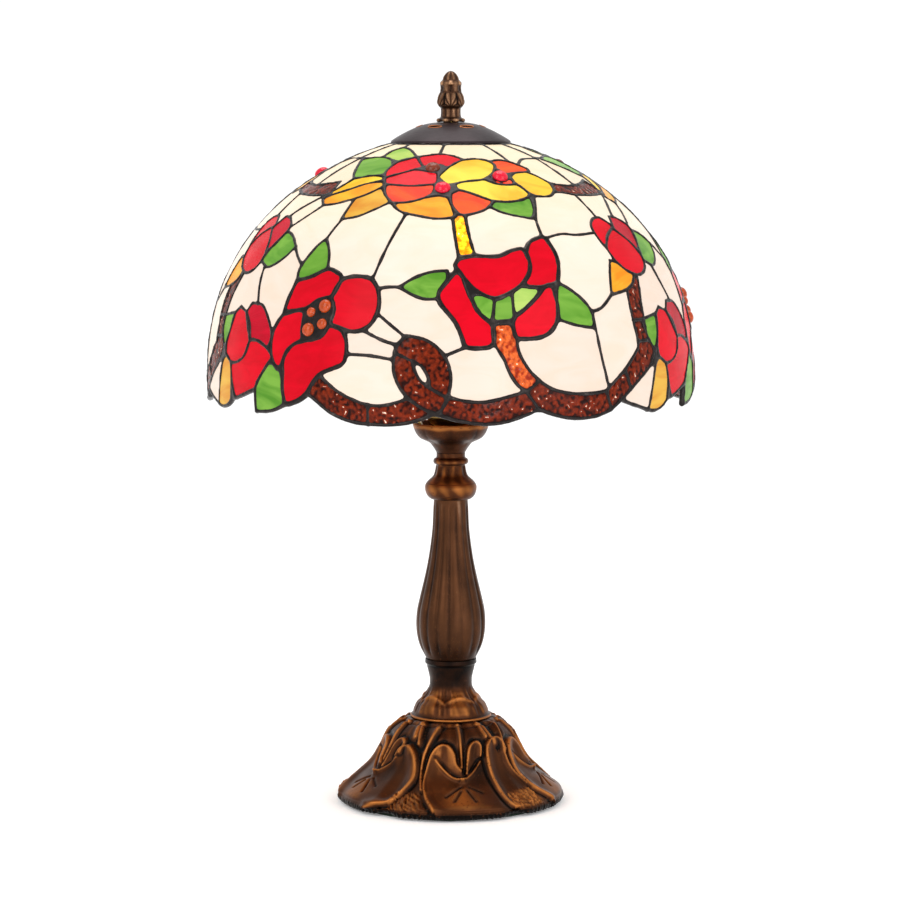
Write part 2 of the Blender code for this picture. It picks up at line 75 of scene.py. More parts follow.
class Surface:
    """A Principled material with short ways to add nodes."""

    def __init__(self, name):
        self.material = bpy.data.materials.new(name)
        self.material.use_nodes = True
        self.tree = self.material.node_tree
        self.shader = self.tree.nodes["Principled BSDF"]

    def set(self, **values):
        for key, value in values.items():
            self.shader.inputs[key.replace("_", " ")].default_value = value

    def node(self, kind, **settings):
        made = self.tree.nodes.new(kind)
        for key, value in settings.items():
            if key in made.inputs:
                made.inputs[key].default_value = value
            else:
                setattr(made, key, value)
        return made

    def link(self, source, target):
        self.tree.links.new(source, target)

    def place(self):
        return self.node("ShaderNodeTexCoord").outputs["Object"]

    def noise(self, scale, detail=4.0, stretch=(1, 1, 1), distortion=0.0):
        mapping = self.node("ShaderNodeMapping")
        mapping.inputs["Scale"].default_value = stretch
        self.link(self.place(), mapping.inputs["Vector"])
        made = self.node("ShaderNodeTexNoise", Scale=scale, Detail=detail, Distortion=distortion)
        self.link(mapping.outputs["Vector"], made.inputs["Vector"])
        return made.outputs["Fac"]

    def ramp(self, source, stops):
        made = self.node("ShaderNodeValToRGB")
        points = made.color_ramp.elements
        while len(points) < len(stops):
            points.new(0.5)
        for point, (position, colour) in zip(points, stops):
            point.position = position
            point.color = colour
        self.link(source, made.inputs["Fac"])
        return made.outputs["Color"]

    def mix(self, factor, first, second, blend="MIX"):
        made = self.node("ShaderNodeMix", data_type="RGBA", blend_type=blend)
        for socket, value in ((made.inputs[0], factor), (made.inputs[6], first), (made.inputs[7], second)):
            if hasattr(value, "links"):
                self.link(value, socket)
            else:
                socket.default_value = value
        return made.outputs[2]

    def to_range(self, source, low, high, start=0.0, end=1.0):
        """Map a source that runs from start to end onto low to high."""
        made = self.node("ShaderNodeMapRange")
        for name, value in (("To Min", low), ("To Max", high), ("From Min", start), ("From Max", end)):
            made.inputs[name].default_value = value
        self.link(source, made.inputs["Value"])
        return made.outputs["Result"]

    def bump(self, source, strength, distance):
        made = self.node("ShaderNodeBump", Strength=strength, Distance=distance)
        self.link(source, made.inputs["Height"])
        self.link(made.outputs["Normal"], self.shader.inputs["Normal"])

    def attribute(self, name):
        return self.node("ShaderNodeAttribute", attribute_name=name).outputs["Fac"]

    def shine(self, source, low, high):
        """Roughness that follows a source."""
        self.link(self.to_range(source, low, high), self.shader.inputs["Roughness"])

    def paint(self, colour):
        self.link(colour, self.shader.inputs["Base Color"])

    def mottle(self, source, colour, dark_share):
        """Paint a colour that darkens towards the low end of a source."""
        darker = tuple(c * dark_share for c in colour[:3]) + (1.0,)
        self.paint(self.ramp(source, [(0.3, darker), (0.7, colour)]))

    def glow(self, colour, strength):
        self.link(colour, self.shader.inputs["Emission Color"])
        self.set(Emission_Strength=strength)


def grey(value):
    return (value, value, value, 1.0)


# ======================= glass =======================
# Glass kind: main colour, streak colour, glow strength, roughness, CAD material slot
GLASS = {
    "ivory": ((255, 238, 222), (255, 233, 213), 0.56, 0.20, "ivory_glass"),
    "ruby": ((236, 2, 34), (218, 1, 28), 0.56, 0.18, "ruby_glass"),
    "ruby_dark": ((214, 4, 44), (186, 3, 34), 0.52, 0.20, "ruby_glass"),
    "green": ((132, 188, 72), (88, 152, 42), 0.52, 0.22, "green_glass"),
    "lime": ((190, 220, 112), (150, 198, 84), 0.56, 0.22, "green_glass"),
    "orange": ((252, 150, 30), (255, 190, 50), 0.60, 0.20, "amber_glass"),
    "orange_red": ((248, 58, 28), (252, 96, 30), 0.58, 0.20, "amber_glass"),
    "yellow": ((254, 226, 72), (252, 188, 36), 0.62, 0.20, "amber_glass"),
    "gold": ((252, 208, 62), (248, 164, 44), 0.60, 0.20, "amber_glass"),
    "caramel": ((242, 190, 76), (228, 150, 52), 0.54, 0.24, "amber_glass"),
}
LIT_SHARE = 0.40          # of a pane's colour that room light shows; its glow shows the rest
WARM_FROM_TO = (0.26, 0.42)  # heights between which the glow turns warmer, metres


def glass_surface(kind):
    """Streaked opalescent glass, lit from behind and brighter towards the cap."""
    main, streak, glow, roughness, _slot = GLASS[kind]
    made = Surface(kind + "_glass")
    streaks = made.noise(26.0, 3.0, (1.0, 1.0, 2.6), 1.6)
    share = made.ramp(streaks, [(0.38, grey(0.0)), (0.66, grey(1.0))])
    tone = made.ramp(made.attribute("tone"), [(0.0, (0.90, 0.88, 0.88, 1)), (1.0, grey(1.0))])
    colour = made.mix(1.0, made.mix(share, rgb(*main), rgb(*streak)), tone, "MULTIPLY")
    height = made.node("ShaderNodeSeparateXYZ")
    made.link(made.place(), height.inputs[0])
    rise = made.to_range(height.outputs["Z"], 0.0, 1.0, *WARM_FROM_TO)
    stops = [(0.0, (0.97, 0.95, 0.94, 1)), (0.6, (1.0, 0.99, 0.97, 1)), (1.0, (1.16, 1.12, 0.72, 1))]
    warm = made.ramp(rise, stops)
    clouds = made.ramp(made.noise(9.0, 2.0), [(0.3, grey(0.88)), (0.7, grey(1.0))])
    lit = made.mix(1.0, made.mix(1.0, colour, warm, "MULTIPLY"), clouds, "MULTIPLY")
    made.paint(made.mix(1.0, colour, grey(LIT_SHARE), "MULTIPLY"))
    made.glow(lit, glow)
    made.set(Specular_IOR_Level=0.08)
    made.shine(streaks, roughness, roughness + 0.14)
    made.bump(made.noise(60.0, 2.0), 0.25, 0.0006)
    return made.material


def ripple_surface(kind):
    """Rippled glass: deep colour in the dips, light catching the crests."""
    dark, light, glow, sparkle, _slot = RIPPLES[kind]
    made = Surface(kind + "_glass")
    stops = [(0.25, rgb(*dark)), (0.64, rgb(*light)), (0.82, rgb(*light)), (0.94, rgb(*sparkle))]
    speckle = made.ramp(made.noise(900.0, 2.0), [(0.35, grey(0.75)), (0.7, grey(1.2))])
    colour = made.mix(1.0, made.ramp(made.attribute("crest"), stops), speckle, "MULTIPLY")
    made.paint(colour)
    made.glow(colour, glow)
    made.set(Roughness=0.16, Specular_IOR_Level=0.10)
    made.bump(made.noise(520.0, 2.0), 0.4, 0.0005)
    return made.material


# Rippled glass kind: dips, slopes, glow strength, sparkle on the crests, CAD material slot
RIPPLES = {
    "brown_ripple": ((30, 4, 1), (106, 31, 8), 0.26, (236, 206, 182), "brown_glass"),
    "orange_ripple": ((134, 34, 6), (198, 88, 36), 0.33, (255, 222, 194), "amber_glass"),
    "glow_ripple": ((226, 120, 6), (255, 200, 30), 0.75, (255, 250, 190), "amber_glass"),
}


# ======================= metals and small parts =======================
BRONZE_WEAR = 0.17        # how far wear shifts the shade of the relief, up or down


def solder_surface():
    """Black patina on solder: uneven, dark, worn lighter on the beads."""
    made = Surface("patina_solder")
    stops = [(0.3, rgb(18, 15, 15)), (0.62, rgb(40, 35, 34)), (0.85, rgb(86, 78, 74))]
    made.paint(made.ramp(made.noise(140.0, 4.0), stops))
    made.set(Metallic=0.75)
    made.shine(made.noise(300.0, 3.0), 0.20, 0.44)
    made.bump(made.noise(620.0, 3.0), 0.5, 0.0004)
    return made.material


def bronze_surface(name, deep, middle, raised):
    """Cast bronze with a patina that stays dark in the hollows of the relief; the relief's shade also carries
    painted highlights and painted shade in places.
    """
    made = Surface(name)
    # random wear added to the relief's shade, which holds patina and also painted highlights and painted
    # shade
    worn = made.node("ShaderNodeMath", operation="ADD")
    made.link(made.to_range(made.noise(75.0, 5.0), -BRONZE_WEAR, BRONZE_WEAR), worn.inputs[0])
    made.link(made.attribute("relief"), worn.inputs[1])
    stops = [(0.12, rgb(*deep)), (0.5, rgb(*middle)), (0.88, rgb(*raised))]
    made.paint(made.ramp(worn.outputs[0], stops))
    made.set(Metallic=0.85, Specular_IOR_Level=0.3)
    made.shine(made.noise(180.0, 4.0), 0.30, 0.52)
    made.bump(made.noise(480.0, 4.0), 0.25, 0.0003)
    return made.material


def plain_metal(name, colour, low, high, grain=420.0, metallic=1.0):
    """Brushed or rolled metal with faint darker patches."""
    made = Surface(name)
    made.mottle(made.noise(60.0, 4.0), colour, 0.62)
    made.set(Metallic=metallic)
    made.shine(made.noise(grain, 3.0, (1, 1, 6)), low, high)
    made.bump(made.noise(grain, 3.0), 0.12, 0.0002)
    return made.material


def plain_soft(name, colour, roughness, grain, depth):
    """Felt, rubber or moulded plastic."""
    made = Surface(name)
    fibres = made.noise(grain, 6.0)
    made.mottle(fibres, colour, 0.55)
    made.set(Roughness=roughness)
    made.bump(fibres, 0.5, depth)
    return made.material


def bulb_surface():
    made = Surface("lit_bulb")
    colour = made.ramp(made.noise(30.0, 2.0), [(0.3, rgb(255, 226, 176)), (0.7, rgb(255, 240, 205))])
    made.paint(colour)
    made.glow(colour, 7.0)
    made.set(Roughness=0.35)
    return made.material


# ======================= the glass pattern =======================
# One repeat of the pattern, each outline as (azimuth, latitude) corners.
# A line that comes near an earlier one is drawn onto it.
HEM = [(-78.2, -0.7), (-75, -1.8), (-71.5, -2.8), (-69, -3.6), (-66, -4), (-63, -3.3), (-61, -2), (-57, -1),
       (-53, 0.3), (-50.5, 1.3), (-50.4, -3.9), (-47, -3.8), (-43, -2.9), (-41.2, -2), (-38.5, -1.3),
       (-36, -0.3), (-34, 1.2), (-31, -0.8), (-28, -2.8), (-25, -4), (-22, -4.8), (-18.7, -5.1), (-14, -5.2),
       (-10, -4.7), (-7, -3.9), (-4, -2.8), (-1.5, -3), (1, -3.9), (5, -4.6), (9, -4.9), (13, -4.3),
       (17, -3), (20, -2), (23, -3), (27, -4), (31, -4.3), (35, -3.9), (38.8, -2.8)]

PIECES = [
    # the flower with four jewels
    ("ruby", [(-41.2, 26.3), (-37, 27.3), (-33.5, 29), (-31.5, 29.3), (-28.3, 28), (-27.9, 26.5),
              (-29, 23.5), (-29.5, 22.8), (-33, 22), (-36.3, 19.8), (-39.5, 19.3), (-42.8, 18.3),
              (-42.5, 21), (-41.8, 24)]),
    ("ruby", [(-27.9, 26.5), (-26, 27.5), (-23.5, 27.8), (-20, 27.3), (-17.8, 25), (-17, 22), (-17.2, 19.5),
              (-18.5, 17), (-20.5, 15.6), (-23, 15.2), (-26, 15.8), (-29, 16.5), (-28.2, 20),
              (-29.5, 22.8)]),
    ("ruby", [(-36.3, 19.8), (-39.5, 19.3), (-42.8, 18.3), (-45.2, 14.5), (-45.3, 10.5), (-44.3, 7.8),
              (-43, 6.2), (-42, 6), (-41.2, 8), (-40, 10.5), (-37.5, 12.2), (-35.5, 12.7), (-36.4, 15)]),
    ("ruby", [(-35.5, 12.7), (-31, 13.8), (-29, 16.5), (-26, 15.8), (-24.3, 13.5), (-24, 10), (-24.8, 8),
              (-27, 7), (-30, 5.8), (-32, 4), (-34, 1.8), (-36.3, 0.0), (-38.5, -0.9), (-40.3, -1.2),
              (-41, 1.5), (-41, 5), (-40, 8.5), (-38, 11.2)]),
    ("solder", [(-36.3, 19.8), (-33, 22), (-29.5, 22.8), (-28.2, 20), (-29, 16.5), (-31, 13.8),
                (-35.5, 12.7), (-36.4, 15)]),
    ("green", [(-36.8, 36.9), (-35, 35), (-33.5, 32.5), (-32.7, 29.3), (-36, 28), (-41.4, 26.4),
               (-41.7, 29), (-40.5, 32), (-38.5, 35.5)]),
    # the rose at the hem
    ("ruby", [(-60.5, 19.2), (-57, 18), (-54.5, 15.5), (-53.5, 12), (-55, 8.5), (-58, 6.8), (-61, 6.5),
              (-64, 8), (-64.5, 10.5), (-63.5, 14), (-62.8, 17.5)]),
    ("ruby_dark", [(-57, 18.6), (-55.5, 20.3), (-51.5, 20.2), (-49, 18.5), (-46.5, 15.5), (-45.8, 12.8),
                   (-46.6, 10.5), (-50, 12), (-53.5, 12)]),
    ("ruby", [(-53.5, 12), (-51, 12), (-46, 10.2), (-45.4, 8.2), (-48.5, 4), (-50, 2), (-53.5, 0.3),
              (-57, -1), (-59, -0.4), (-60.5, 3), (-61, 6.2), (-58, 6.8), (-55, 8.5)]),
    ("green", [(-69, 16.8), (-62.5, 18), (-64, 13), (-65.7, 9.6), (-68, 13)]),
    ("caramel", [(-66, 6.2), (-67.4, 1.5), (-68.7, -3.6), (-66, -4), (-63, -3.3), (-61, -2), (-61.2, 3),
                 (-61.8, 6.4), (-64, 8)]),
    ("green", [(-46, 7.6), (-44, 7), (-42.2, 5.6), (-41.4, 3), (-40.9, -1.6), (-45, -3.3), (-50.2, -3.8),
               (-50, 1.8), (-48.5, 4)]),
    ("cream", [(-78, 0.2), (-68, 6.3), (-66, 6.2), (-68.7, -3.6), (-71.5, -2.8), (-75, -1.8)]),
    # the bud
    ("ruby", [(-74.7, 39), (-73.7, 41), (-71, 42.5), (-68, 42.8), (-66, 41.5), (-64.2, 39.8), (-67.5, 38.5),
              (-70.5, 37), (-73.2, 34), (-74.2, 36)]),
    ("ruby", [(-73.2, 34), (-71.5, 36), (-68.5, 38), (-65, 38.9), (-61.3, 36), (-59.5, 33.2), (-59, 30.5),
              (-60.5, 28.4), (-63, 27.3), (-66, 27.2), (-69.5, 28.5), (-72.2, 31)]),
    ("ruby_dark", [(-64.2, 39.8), (-62, 42.8), (-59, 42.5), (-56, 41), (-54.6, 39.8), (-55, 37.5),
                   (-56.8, 34.6), (-58.9, 33), (-60.8, 35.8), (-64.6, 39)]),
    ("green", [(-54.8, 38.3), (-53, 38.2), (-50, 37), (-46.8, 34.6), (-48.5, 32.2), (-51.5, 30), (-55, 29),
               (-59, 30.5), (-56.8, 33.6)]),
    ("orange", [(-74.2, 31), (-71.8, 30.2), (-69.5, 28.5), (-67, 26.6), (-69, 25), (-72, 23.8),
                (-75.5, 23.2), (-77.8, 22.8), (-77.2, 25), (-76, 28)]),
    # the heart-shaped flower
    ("ruby", [(1, 30.6), (2, 32.2), (4, 32.8), (7, 33), (10, 32.8), (13, 33), (16, 34.2), (19, 34.8),
              (20.2, 33.6), (20.6, 31), (19.6, 28.2), (17, 25.6), (13.5, 23.7), (11.2, 22.8), (9, 23.2),
              (6, 24.7), (3.3, 27.4)]),
    ("ruby", [(20.2, 33.6), (22, 36.4), (26, 37.8), (27.2, 37.4), (28.6, 33.4), (28.4, 30), (27, 26.2),
              (22, 25.2), (17, 25.6), (19.6, 28.2), (20.6, 31)]),
    ("ruby", [(0.8, 29.2), (-1.6, 26), (-2.9, 24), (-2.6, 22), (-1, 20), (1, 17.6), (2.3, 14.8),
              (3.1, 12.2), (5, 11.8), (8.6, 12), (9.7, 12.8), (9.7, 16.4), (8.4, 17.9), (6.2, 20),
              (5, 22.6), (4, 24.8), (2.6, 27.4)]),
    ("green", [(5, 24.2), (8, 23.4), (10.4, 22.7), (10.4, 17.4), (7.8, 18.9), (5.6, 21.7)]),
    ("green", [(10.4, 22.7), (14.9, 24), (14.7, 18), (10.4, 17.4)]),
    ("lime", [(15.1, 23.8), (17, 25.3), (22.6, 25.2), (19.5, 21.8), (15, 18.6)]),
    ("ruby", [(25.4, 25.4), (25.8, 22.4), (25.6, 18.6), (24, 15.8), (21.5, 14.2), (18, 13.7), (15, 13.8),
              (14.3, 15.8), (14.8, 18.3), (18, 20), (21, 22), (23.6, 24.6)]),
    ("green", [(27.2, 26), (30, 24.5), (33, 22), (35, 19), (34.8, 15.6), (30, 16.4), (26.2, 17.6),
               (26.2, 22)]),
    ("green", [(-12.5, 25.4), (-9, 27.6), (-5, 29), (-0.9, 29.4), (-1.8, 27.6), (-3, 25.4), (-3.4, 23.4),
               (-4, 22.5), (-6, 22.7), (-9, 23.6)]),
    # brown ripple ribbons along the hem, and the ring
    ("brown_ripple", [(-12.3, 12), (-10, 14.5), (-6, 13.8), (-3, 12), (-1, 9.5), (0, 6), (-0.3, 2.5),
                      (-1.2, -0.5), (-3, -2.3), (-6, -1.5), (-9, 0.5), (-11.5, 3.5), (-12.8, 7.5)]),
    ("cream", [(-8.5, 9), (-6.5, 8), (-5, 5.5), (-4.7, 3.2), (-6.5, 4.5), (-8, 7)]),
    ("brown_ripple", [(-34, 1.2), (-32, 3.6), (-30.2, 4.8), (-26, 2), (-22, 0.2), (-18, -0.9), (-14, -0.7),
                      (-9.5, 0.6), (-6, -1.5), (-3, -2.4), (-4, -2.8), (-7, -3.9), (-10, -4.7), (-14, -5.2),
                      (-18.7, -5.1), (-22, -4.8), (-25, -4), (-28, -2.8), (-31, -0.8)]),
    ("brown_ripple", [(-0.6, 1.2), (3, 0.3), (7, 0), (11, 0.7), (15, 1.7), (17, 2.3), (20, 4.5),
                      (22.5, 2.8), (26, 1.7), (30, 1.2), (34, 1.2), (37.2, 1.6), (38.8, -2.8), (35, -3.9),
                      (31, -4.3), (27, -4), (23, -3), (20, -2), (17, -3), (13, -4.3), (9, -4.9), (5, -4.6),
                      (1, -3.9), (-2.6, -2.7)]),
    ("brown_ripple", [(37.2, 1.6), (40, 3.8), (43, 6), (48, 10.6), (48, 13), (47.5, 17), (47.6, 21),
                      (48, 24.2), (51, 25.2), (53, 26.6), (54.3, 26.6), (52.3, 21), (51.8, 17),
                      (52.5, 13.5), (54, 9.8), (51, 6.8), (48, 4.3), (43.5, 1.2), (41.8, -0.7),
                      (38.8, -2.8)]),
    ("orange_ripple", [(10, 17), (10.4, 13), (11.8, 9.5), (13, 6.5), (15, 3.5), (17, 2.3), (20, 4.5),
                       (17.5, 7), (15.5, 10.5), (14.5, 13.8), (13.9, 17.2)]),
    ("brown_ripple", [(43, 54.8), (48, 54), (55, 53.7), (62, 54.3), (69.5, 55.4), (72, 50.2), (66, 50),
                      (60, 49.9), (50, 50.3), (46, 51), (41.5, 51.5)]),
    ("glow_ripple", [(0.6, 43.4), (1.2, 38), (1.9, 32.6), (6.3, 33.2), (5.2, 38), (4.4, 44.2),
                     (2.5, 44.6)]),
    # the top flower
    ("ruby", [(-29, 57.2), (-31, 60.5), (-28.5, 65), (-20, 67.3), (-13.3, 62.2), (-17, 61), (-22, 59.5)]),
    ("ruby", [(-20, 67.3), (-14, 68.2), (-7, 69), (0, 68.3), (7, 66), (3, 64.4), (0, 62.8), (-2.5, 62),
              (-4, 63), (-8.5, 63.3), (-13.3, 62.2)]),
    ("ruby", [(-28.5, 57), (-22, 59.3), (-17, 60.6), (-12, 60.4), (-6, 59.6), (-5.3, 57.5), (-5.5, 55),
              (-15, 54.2), (-27, 54.8)]),
    ("orange_red", [(-26.5, 54.3), (-15, 54), (-6, 54.4), (-6.2, 52), (-9, 49.9), (-14, 48.4), (-20, 48),
                    (-24, 51)]),
    ("orange", [(-20, 47.8), (-14, 48.3), (-9, 49.7), (-4, 50.6), (-1, 50), (0.5, 47), (0.5, 44.5),
                (-1, 43.3), (-5, 43.2), (-10, 44), (-16, 45.3)]),
    ("yellow", [(-3.8, 58), (-3, 60.5), (0, 62.8), (5, 65), (10, 66), (15, 66.2), (20, 65.3), (22.6, 63.3),
                (21.5, 61.5), (19, 59.5), (15, 57.3), (12, 56.5), (6, 56), (2, 55.1), (-1, 54.7),
                (-3.3, 56)]),
    ("orange_red", [(22.6, 63.3), (22, 65.3), (27, 65.5), (32, 64.8), (36, 63), (39, 61), (38.5, 60),
                    (34, 59.6), (28, 59.3), (25.5, 58.9), (23, 60.3), (21.8, 61.6)]),
    ("gold", [(26, 57.6), (30, 58.8), (36, 59), (39.5, 58), (41.2, 55), (41, 52.5), (38, 50.3), (35, 50),
              (31, 50.3), (29, 51.6), (28, 53.5), (26, 55.5)]),
    ("yellow", [(1.8, 54), (5, 55.5), (10, 56.2), (14, 56.4), (18, 55), (22, 54.5), (25.7, 54.3),
                (28.6, 52.5), (28.7, 50.3), (25, 49), (20, 48.4), (15, 48.7), (11, 50), (6, 52),
                (2.5, 52.8)]),
    ("orange_red", [(0, 51.3), (3, 52.4), (8, 51.2), (12, 49.6), (14.4, 48.3), (12, 46.5), (9, 45.2),
                    (5, 44.8), (3, 45.4), (1, 47.6)]),
    ("orange_red", [(16, 57.4), (19, 59.5), (21.5, 61.5), (24.5, 59.2), (26, 57.6), (26, 55.5),
                    (25.7, 54.3), (22, 54.5), (18, 55.2)]),
    ("lime", [(-45, 71), (-40, 73.2), (-33, 72.2), (-27, 70.4), (-20.5, 67.5), (-29.5, 64.9), (-36.5, 66),
              (-44, 67.3)]),
    ("green", [(-59, 65.3), (-50, 66.8), (-42, 66), (-36, 65), (-32, 63.2), (-31.2, 60.5), (-31, 58.3),
               (-38, 57.8), (-43, 56.8), (-46, 57.5), (-52, 61.5), (-57, 64.4)]),
    ("yellow", [(-50.5, 49.8), (-47, 53), (-44, 56), (-40, 57.3), (-35, 58), (-30, 57.6), (-29.5, 56),
                (-36, 54.5), (-42, 52), (-47.5, 50.2)]),
    ("orange", [(-50, 48.8), (-46, 50.5), (-40, 52.5), (-34, 54.7), (-28.5, 55.6), (-27.5, 54), (-31, 51),
                (-36, 49), (-42, 47.3), (-47, 46.8)]),
    ("caramel", [(-27, 53.6), (-31, 51), (-35, 49.3), (-35.2, 42.6), (-30, 43.5), (-26, 45.3),
                 (-21.6, 47.6), (-24.2, 50.6)]),
    ("green", [(13.6, 46.2), (15, 48.3), (20, 48), (26, 48.8), (29.6, 49.8), (28, 46.5), (26.5, 44),
               (25, 43), (20, 44), (16, 45.1)]),
]

# Lead lines across the ivory ground, and across the ribbons.
LINES = [
    [(-28.2, 20), (-28.4, 21.5)],
    [(-53, 20.4), (-55, 25), (-56.2, 29.2)],
    [(-46.8, 34.6), (-44.6, 32.4), (-41.4, 30)],
    [(-69, 16.8), (-72, 16.8)],
    [(-62.5, 18), (-60.5, 19.2)],
    [(-34.8, 42.6), (-36, 39.5), (-36.8, 36.9)],
    [(-14, 44.6), (-17, 36), (-19.3, 27.2)],
    [(-17.8, 25), (-15, 25.4), (-12.5, 25.4)],
    [(-54.8, 39.6), (-50, 43.5), (-46.5, 46.9)],
    [(-60, 42.8), (-57, 45.5), (-50.5, 49.6)],
    [(50.8, 42.6), (50.4, 46.5), (50, 50.3)],
    [(27.5, 37.8), (33, 38.4), (38, 38), (45.3, 38.4)],
    [(30, 49.9), (27.5, 44.5), (26.4, 41.8), (26.6, 38.2)],
    [(34.9, 17.6), (36, 10), (37.7, 2.4)],
    [(34.6, 19.2), (38, 20), (42.2, 22.9)],
    [(-1.3, 10.2), (3.4, 11.9)],
    [(-24, 10.2), (-18.2, 10), (-12.7, 9.2)],
    [(-20.5, 15.5), (-15.4, 13.4), (-12.2, 12.6)],
    [(-17.2, 19.4), (-14, 17), (-10.4, 14.4)],
    [(36, 63), (44, 65.8), (57, 66), (66, 66.2), (69.5, 66.6)],
    [(-7, 69), (-6, SHADE_TOP_LATITUDE)],
    [(33, 64.6), (31, SHADE_TOP_LATITUDE)],
    [(-40, 73.2), (-43, SHADE_TOP_LATITUDE)],
    [(57, 66), (56, SHADE_TOP_LATITUDE)],
    [(56, 53.8), (56, 60), (57, 66)],
    [(-31, 58.6), (-30, 57.4)],
    [(-18.6, -0.9), (-18.7, -5.0)],
    [(-12.5, 10.8), (-8.6, 9)],
    [(-4.7, 3.2), (-0.8, 1)],
    [(17, 1.7), (20, -2)],
    [(47.8, 12), (52.8, 12.2)],
    [(43, 6), (44.5, 1.9)],
]

# Cabochons: azimuth, latitude, radius in millimetres, colour.
JEWELS = [
    (-34.3, 19.1, 3.0, "amber"),
    (-30.7, 20.6, 4.1, "amber"),
    (-34.4, 15.2, 4.1, "amber"),
    (-30.8, 16.6, 3.3, "amber"),
    (-8.5, 61.5, 4.6, "brown"),
    (-3.0, 53.2, 4.8, "red"),
    (21.2, 57.6, 4.8, "red"),
]
JEWEL_COLOURS = {"amber": (150, 52, 0), "brown": (96, 34, 8), "red": (196, 4, 40)}

THICK_LINES = {0, 1, 2, 3, 18, 19, 20, 24}   # outlines of the two largest flowers
CORNER_ANGLE = 46.0       # a sharper turn than this stays a corner
CURVE_STEP = 0.9          # degrees between points on a curved lead line
SNAP = 1.15               # degrees: a nearer line is drawn onto the older one
SLIVER = 0.85             # degrees: narrower gaps are all solder
SMALLEST_IVORY = 28.0      # square degrees: smaller gaps between petals are all solder


def arc_scale(latitude):
    return math.cos(math.radians(latitude))


def line_length(a, b):
    across = (b[0] - a[0]) * arc_scale(0.5 * (a[1] + b[1]))
    return math.hypot(across, b[1] - a[1])


def turn_at(a, b, c):
    scale = arc_scale(b[1])
    first = math.atan2(b[1] - a[1], (b[0] - a[0]) * scale)
    second = math.atan2(c[1] - b[1], (c[0] - b[0]) * scale)
    turn = math.degrees(abs(second - first)) % 360.0
    return min(turn, 360.0 - turn)


def catmull_rom(a, b, c, d, t):
    """The place at t, 0 to 1, between b and c on a smooth curve through four points."""
    return tuple(0.5 * (2 * b[i] + (c[i] - a[i]) * t + (2 * a[i] - 5 * b[i] + 4 * c[i] - d[i]) * t * t
                        + (3 * b[i] - a[i] - 3 * c[i] + d[i]) * t ** 3) for i in (0, 1))


def curve_through(points, closed):
    """A smooth line through given points, which keeps its sharp corners."""
    count = len(points)

    def at(k):
        return points[k % count] if closed else points[min(max(k, 0), count - 1)]

    def is_corner(k):
        if not closed and k in (0, count - 1):
            return True
        return turn_at(at(k - 1), at(k), at(k + 1)) > CORNER_ANGLE

    out = []
    spans = count if closed else count - 1
    for k in range(spans):
        b, c = at(k), at(k + 1)
        a = b if is_corner(k % count) else at(k - 1)
        d = c if is_corner((k + 1) % count) else at(k + 2)
        steps = max(1, round(line_length(b, c) / CURVE_STEP))
        out += [catmull_rom(a, b, c, d, s / steps) for s in range(steps)]
    out.append(points[0] if closed else points[-1])
    return out


def nearest_on(point, lines):
    """The closest place to a point on any of the lines, and its distance."""
    scale = arc_scale(point[1])
    best = (1e9, point)
    for line in lines:
        p = line - np.array(point)
        p[:, 0] *= scale
        a, b = p[:-1], p[1:]
        along = b - a
        size = np.maximum((along ** 2).sum(1), 1e-12)
        t = np.clip(-(a * along).sum(1) / size, 0.0, 1.0)
        foot = a + along * t[:, None]
        distance = np.hypot(foot[:, 0], foot[:, 1])
        k = int(distance.argmin())
        if distance[k] < best[0]:
            best = (distance[k], (foot[k, 0] / scale + point[0], foot[k, 1] + point[1]))
    return best


PATTERN_START = -78.2     # degrees, where one repeat begins
CROWN_STEP = 3.0
END_REACH = 2.6           # the end of a single line is drawn onto anything this near


def drawn_pattern():
    """Every lead line of one repeat, snapped onto its older neighbours."""
    hem_end = (HEM[0][0] + REPEAT_ANGLE, HEM[0][1])
    hem = curve_through(HEM + [hem_end], False)
    crown = [(a * CROWN_STEP + PATTERN_START, SHADE_TOP_LATITUDE) for a in range(41)]
    laid = []

    def lay(line):
        for turn in (-1, 0, 1):
            laid.append(np.array(line) + np.array((turn * REPEAT_ANGLE, 0.0)))

    def snapped(points, reach):
        out = []
        for point in points:
            distance, place = nearest_on(point, laid)
            out.append(place if distance < reach else point)
        return out

    lay(hem)
    lay(crown)
    outlines = []
    for glass, points in PIECES:
        outline = curve_through(snapped(points, SNAP), True)
        outlines.append((glass, outline))
        lay(outline)
    lines = []
    for points in LINES:
        ends = snapped([points[0], points[-1]], END_REACH)
        line = curve_through([ends[0]] + points[1:-1] + [ends[1]], False)
        lines.append(line)
        lay(line)
    return hem, crown, outlines, lines


# ======================= dome geometry =======================
def to_plane(azimuth, latitude):
    """Unroll the dome: distance from the middle is the angle from the top."""
    reach = 90.0 - latitude
    angle = math.radians(azimuth)
    return Vector((reach * math.sin(angle), -reach * math.cos(angle)))


def from_plane(point):
    return math.degrees(math.atan2(point[0], -point[1])), 90.0 - math.hypot(point[0], point[1])


def to_dome(azimuth, latitude, depth):
    """A place on the dome, depth millimetres below the outside of the glass."""
    swell = math.sin(math.pi * min(max((latitude + 5.0) / 70.0, 0.0), 1.0)) ** 2
    radius = SHADE_RADIUS * (1.0 + SHADE_FULLNESS * swell) - depth
    across = radius * math.cos(math.radians(latitude))
    turn = math.radians(azimuth)
    return Vector((across * math.sin(turn), -across * math.cos(turn),
                   SHADE_CENTRE_Z + radius * math.sin(math.radians(latitude)))) * MM


def new_object(name, verts, faces, material, smooth_angle):
    """A smooth-shaded mesh; edges sharper than smooth_angle stay sharp unless it is None."""
    mesh = bpy.data.meshes.new(name)
    mesh.from_pydata(verts, [], faces)
    mesh.update()
    mesh.materials.append(material)
    mesh.shade_smooth()
    if smooth_angle is not None:
        mesh.set_sharp_from_angle(angle=math.radians(smooth_angle))
    made = bpy.data.objects.new(name, mesh)
    bpy.context.scene.collection.objects.link(made)
    return made


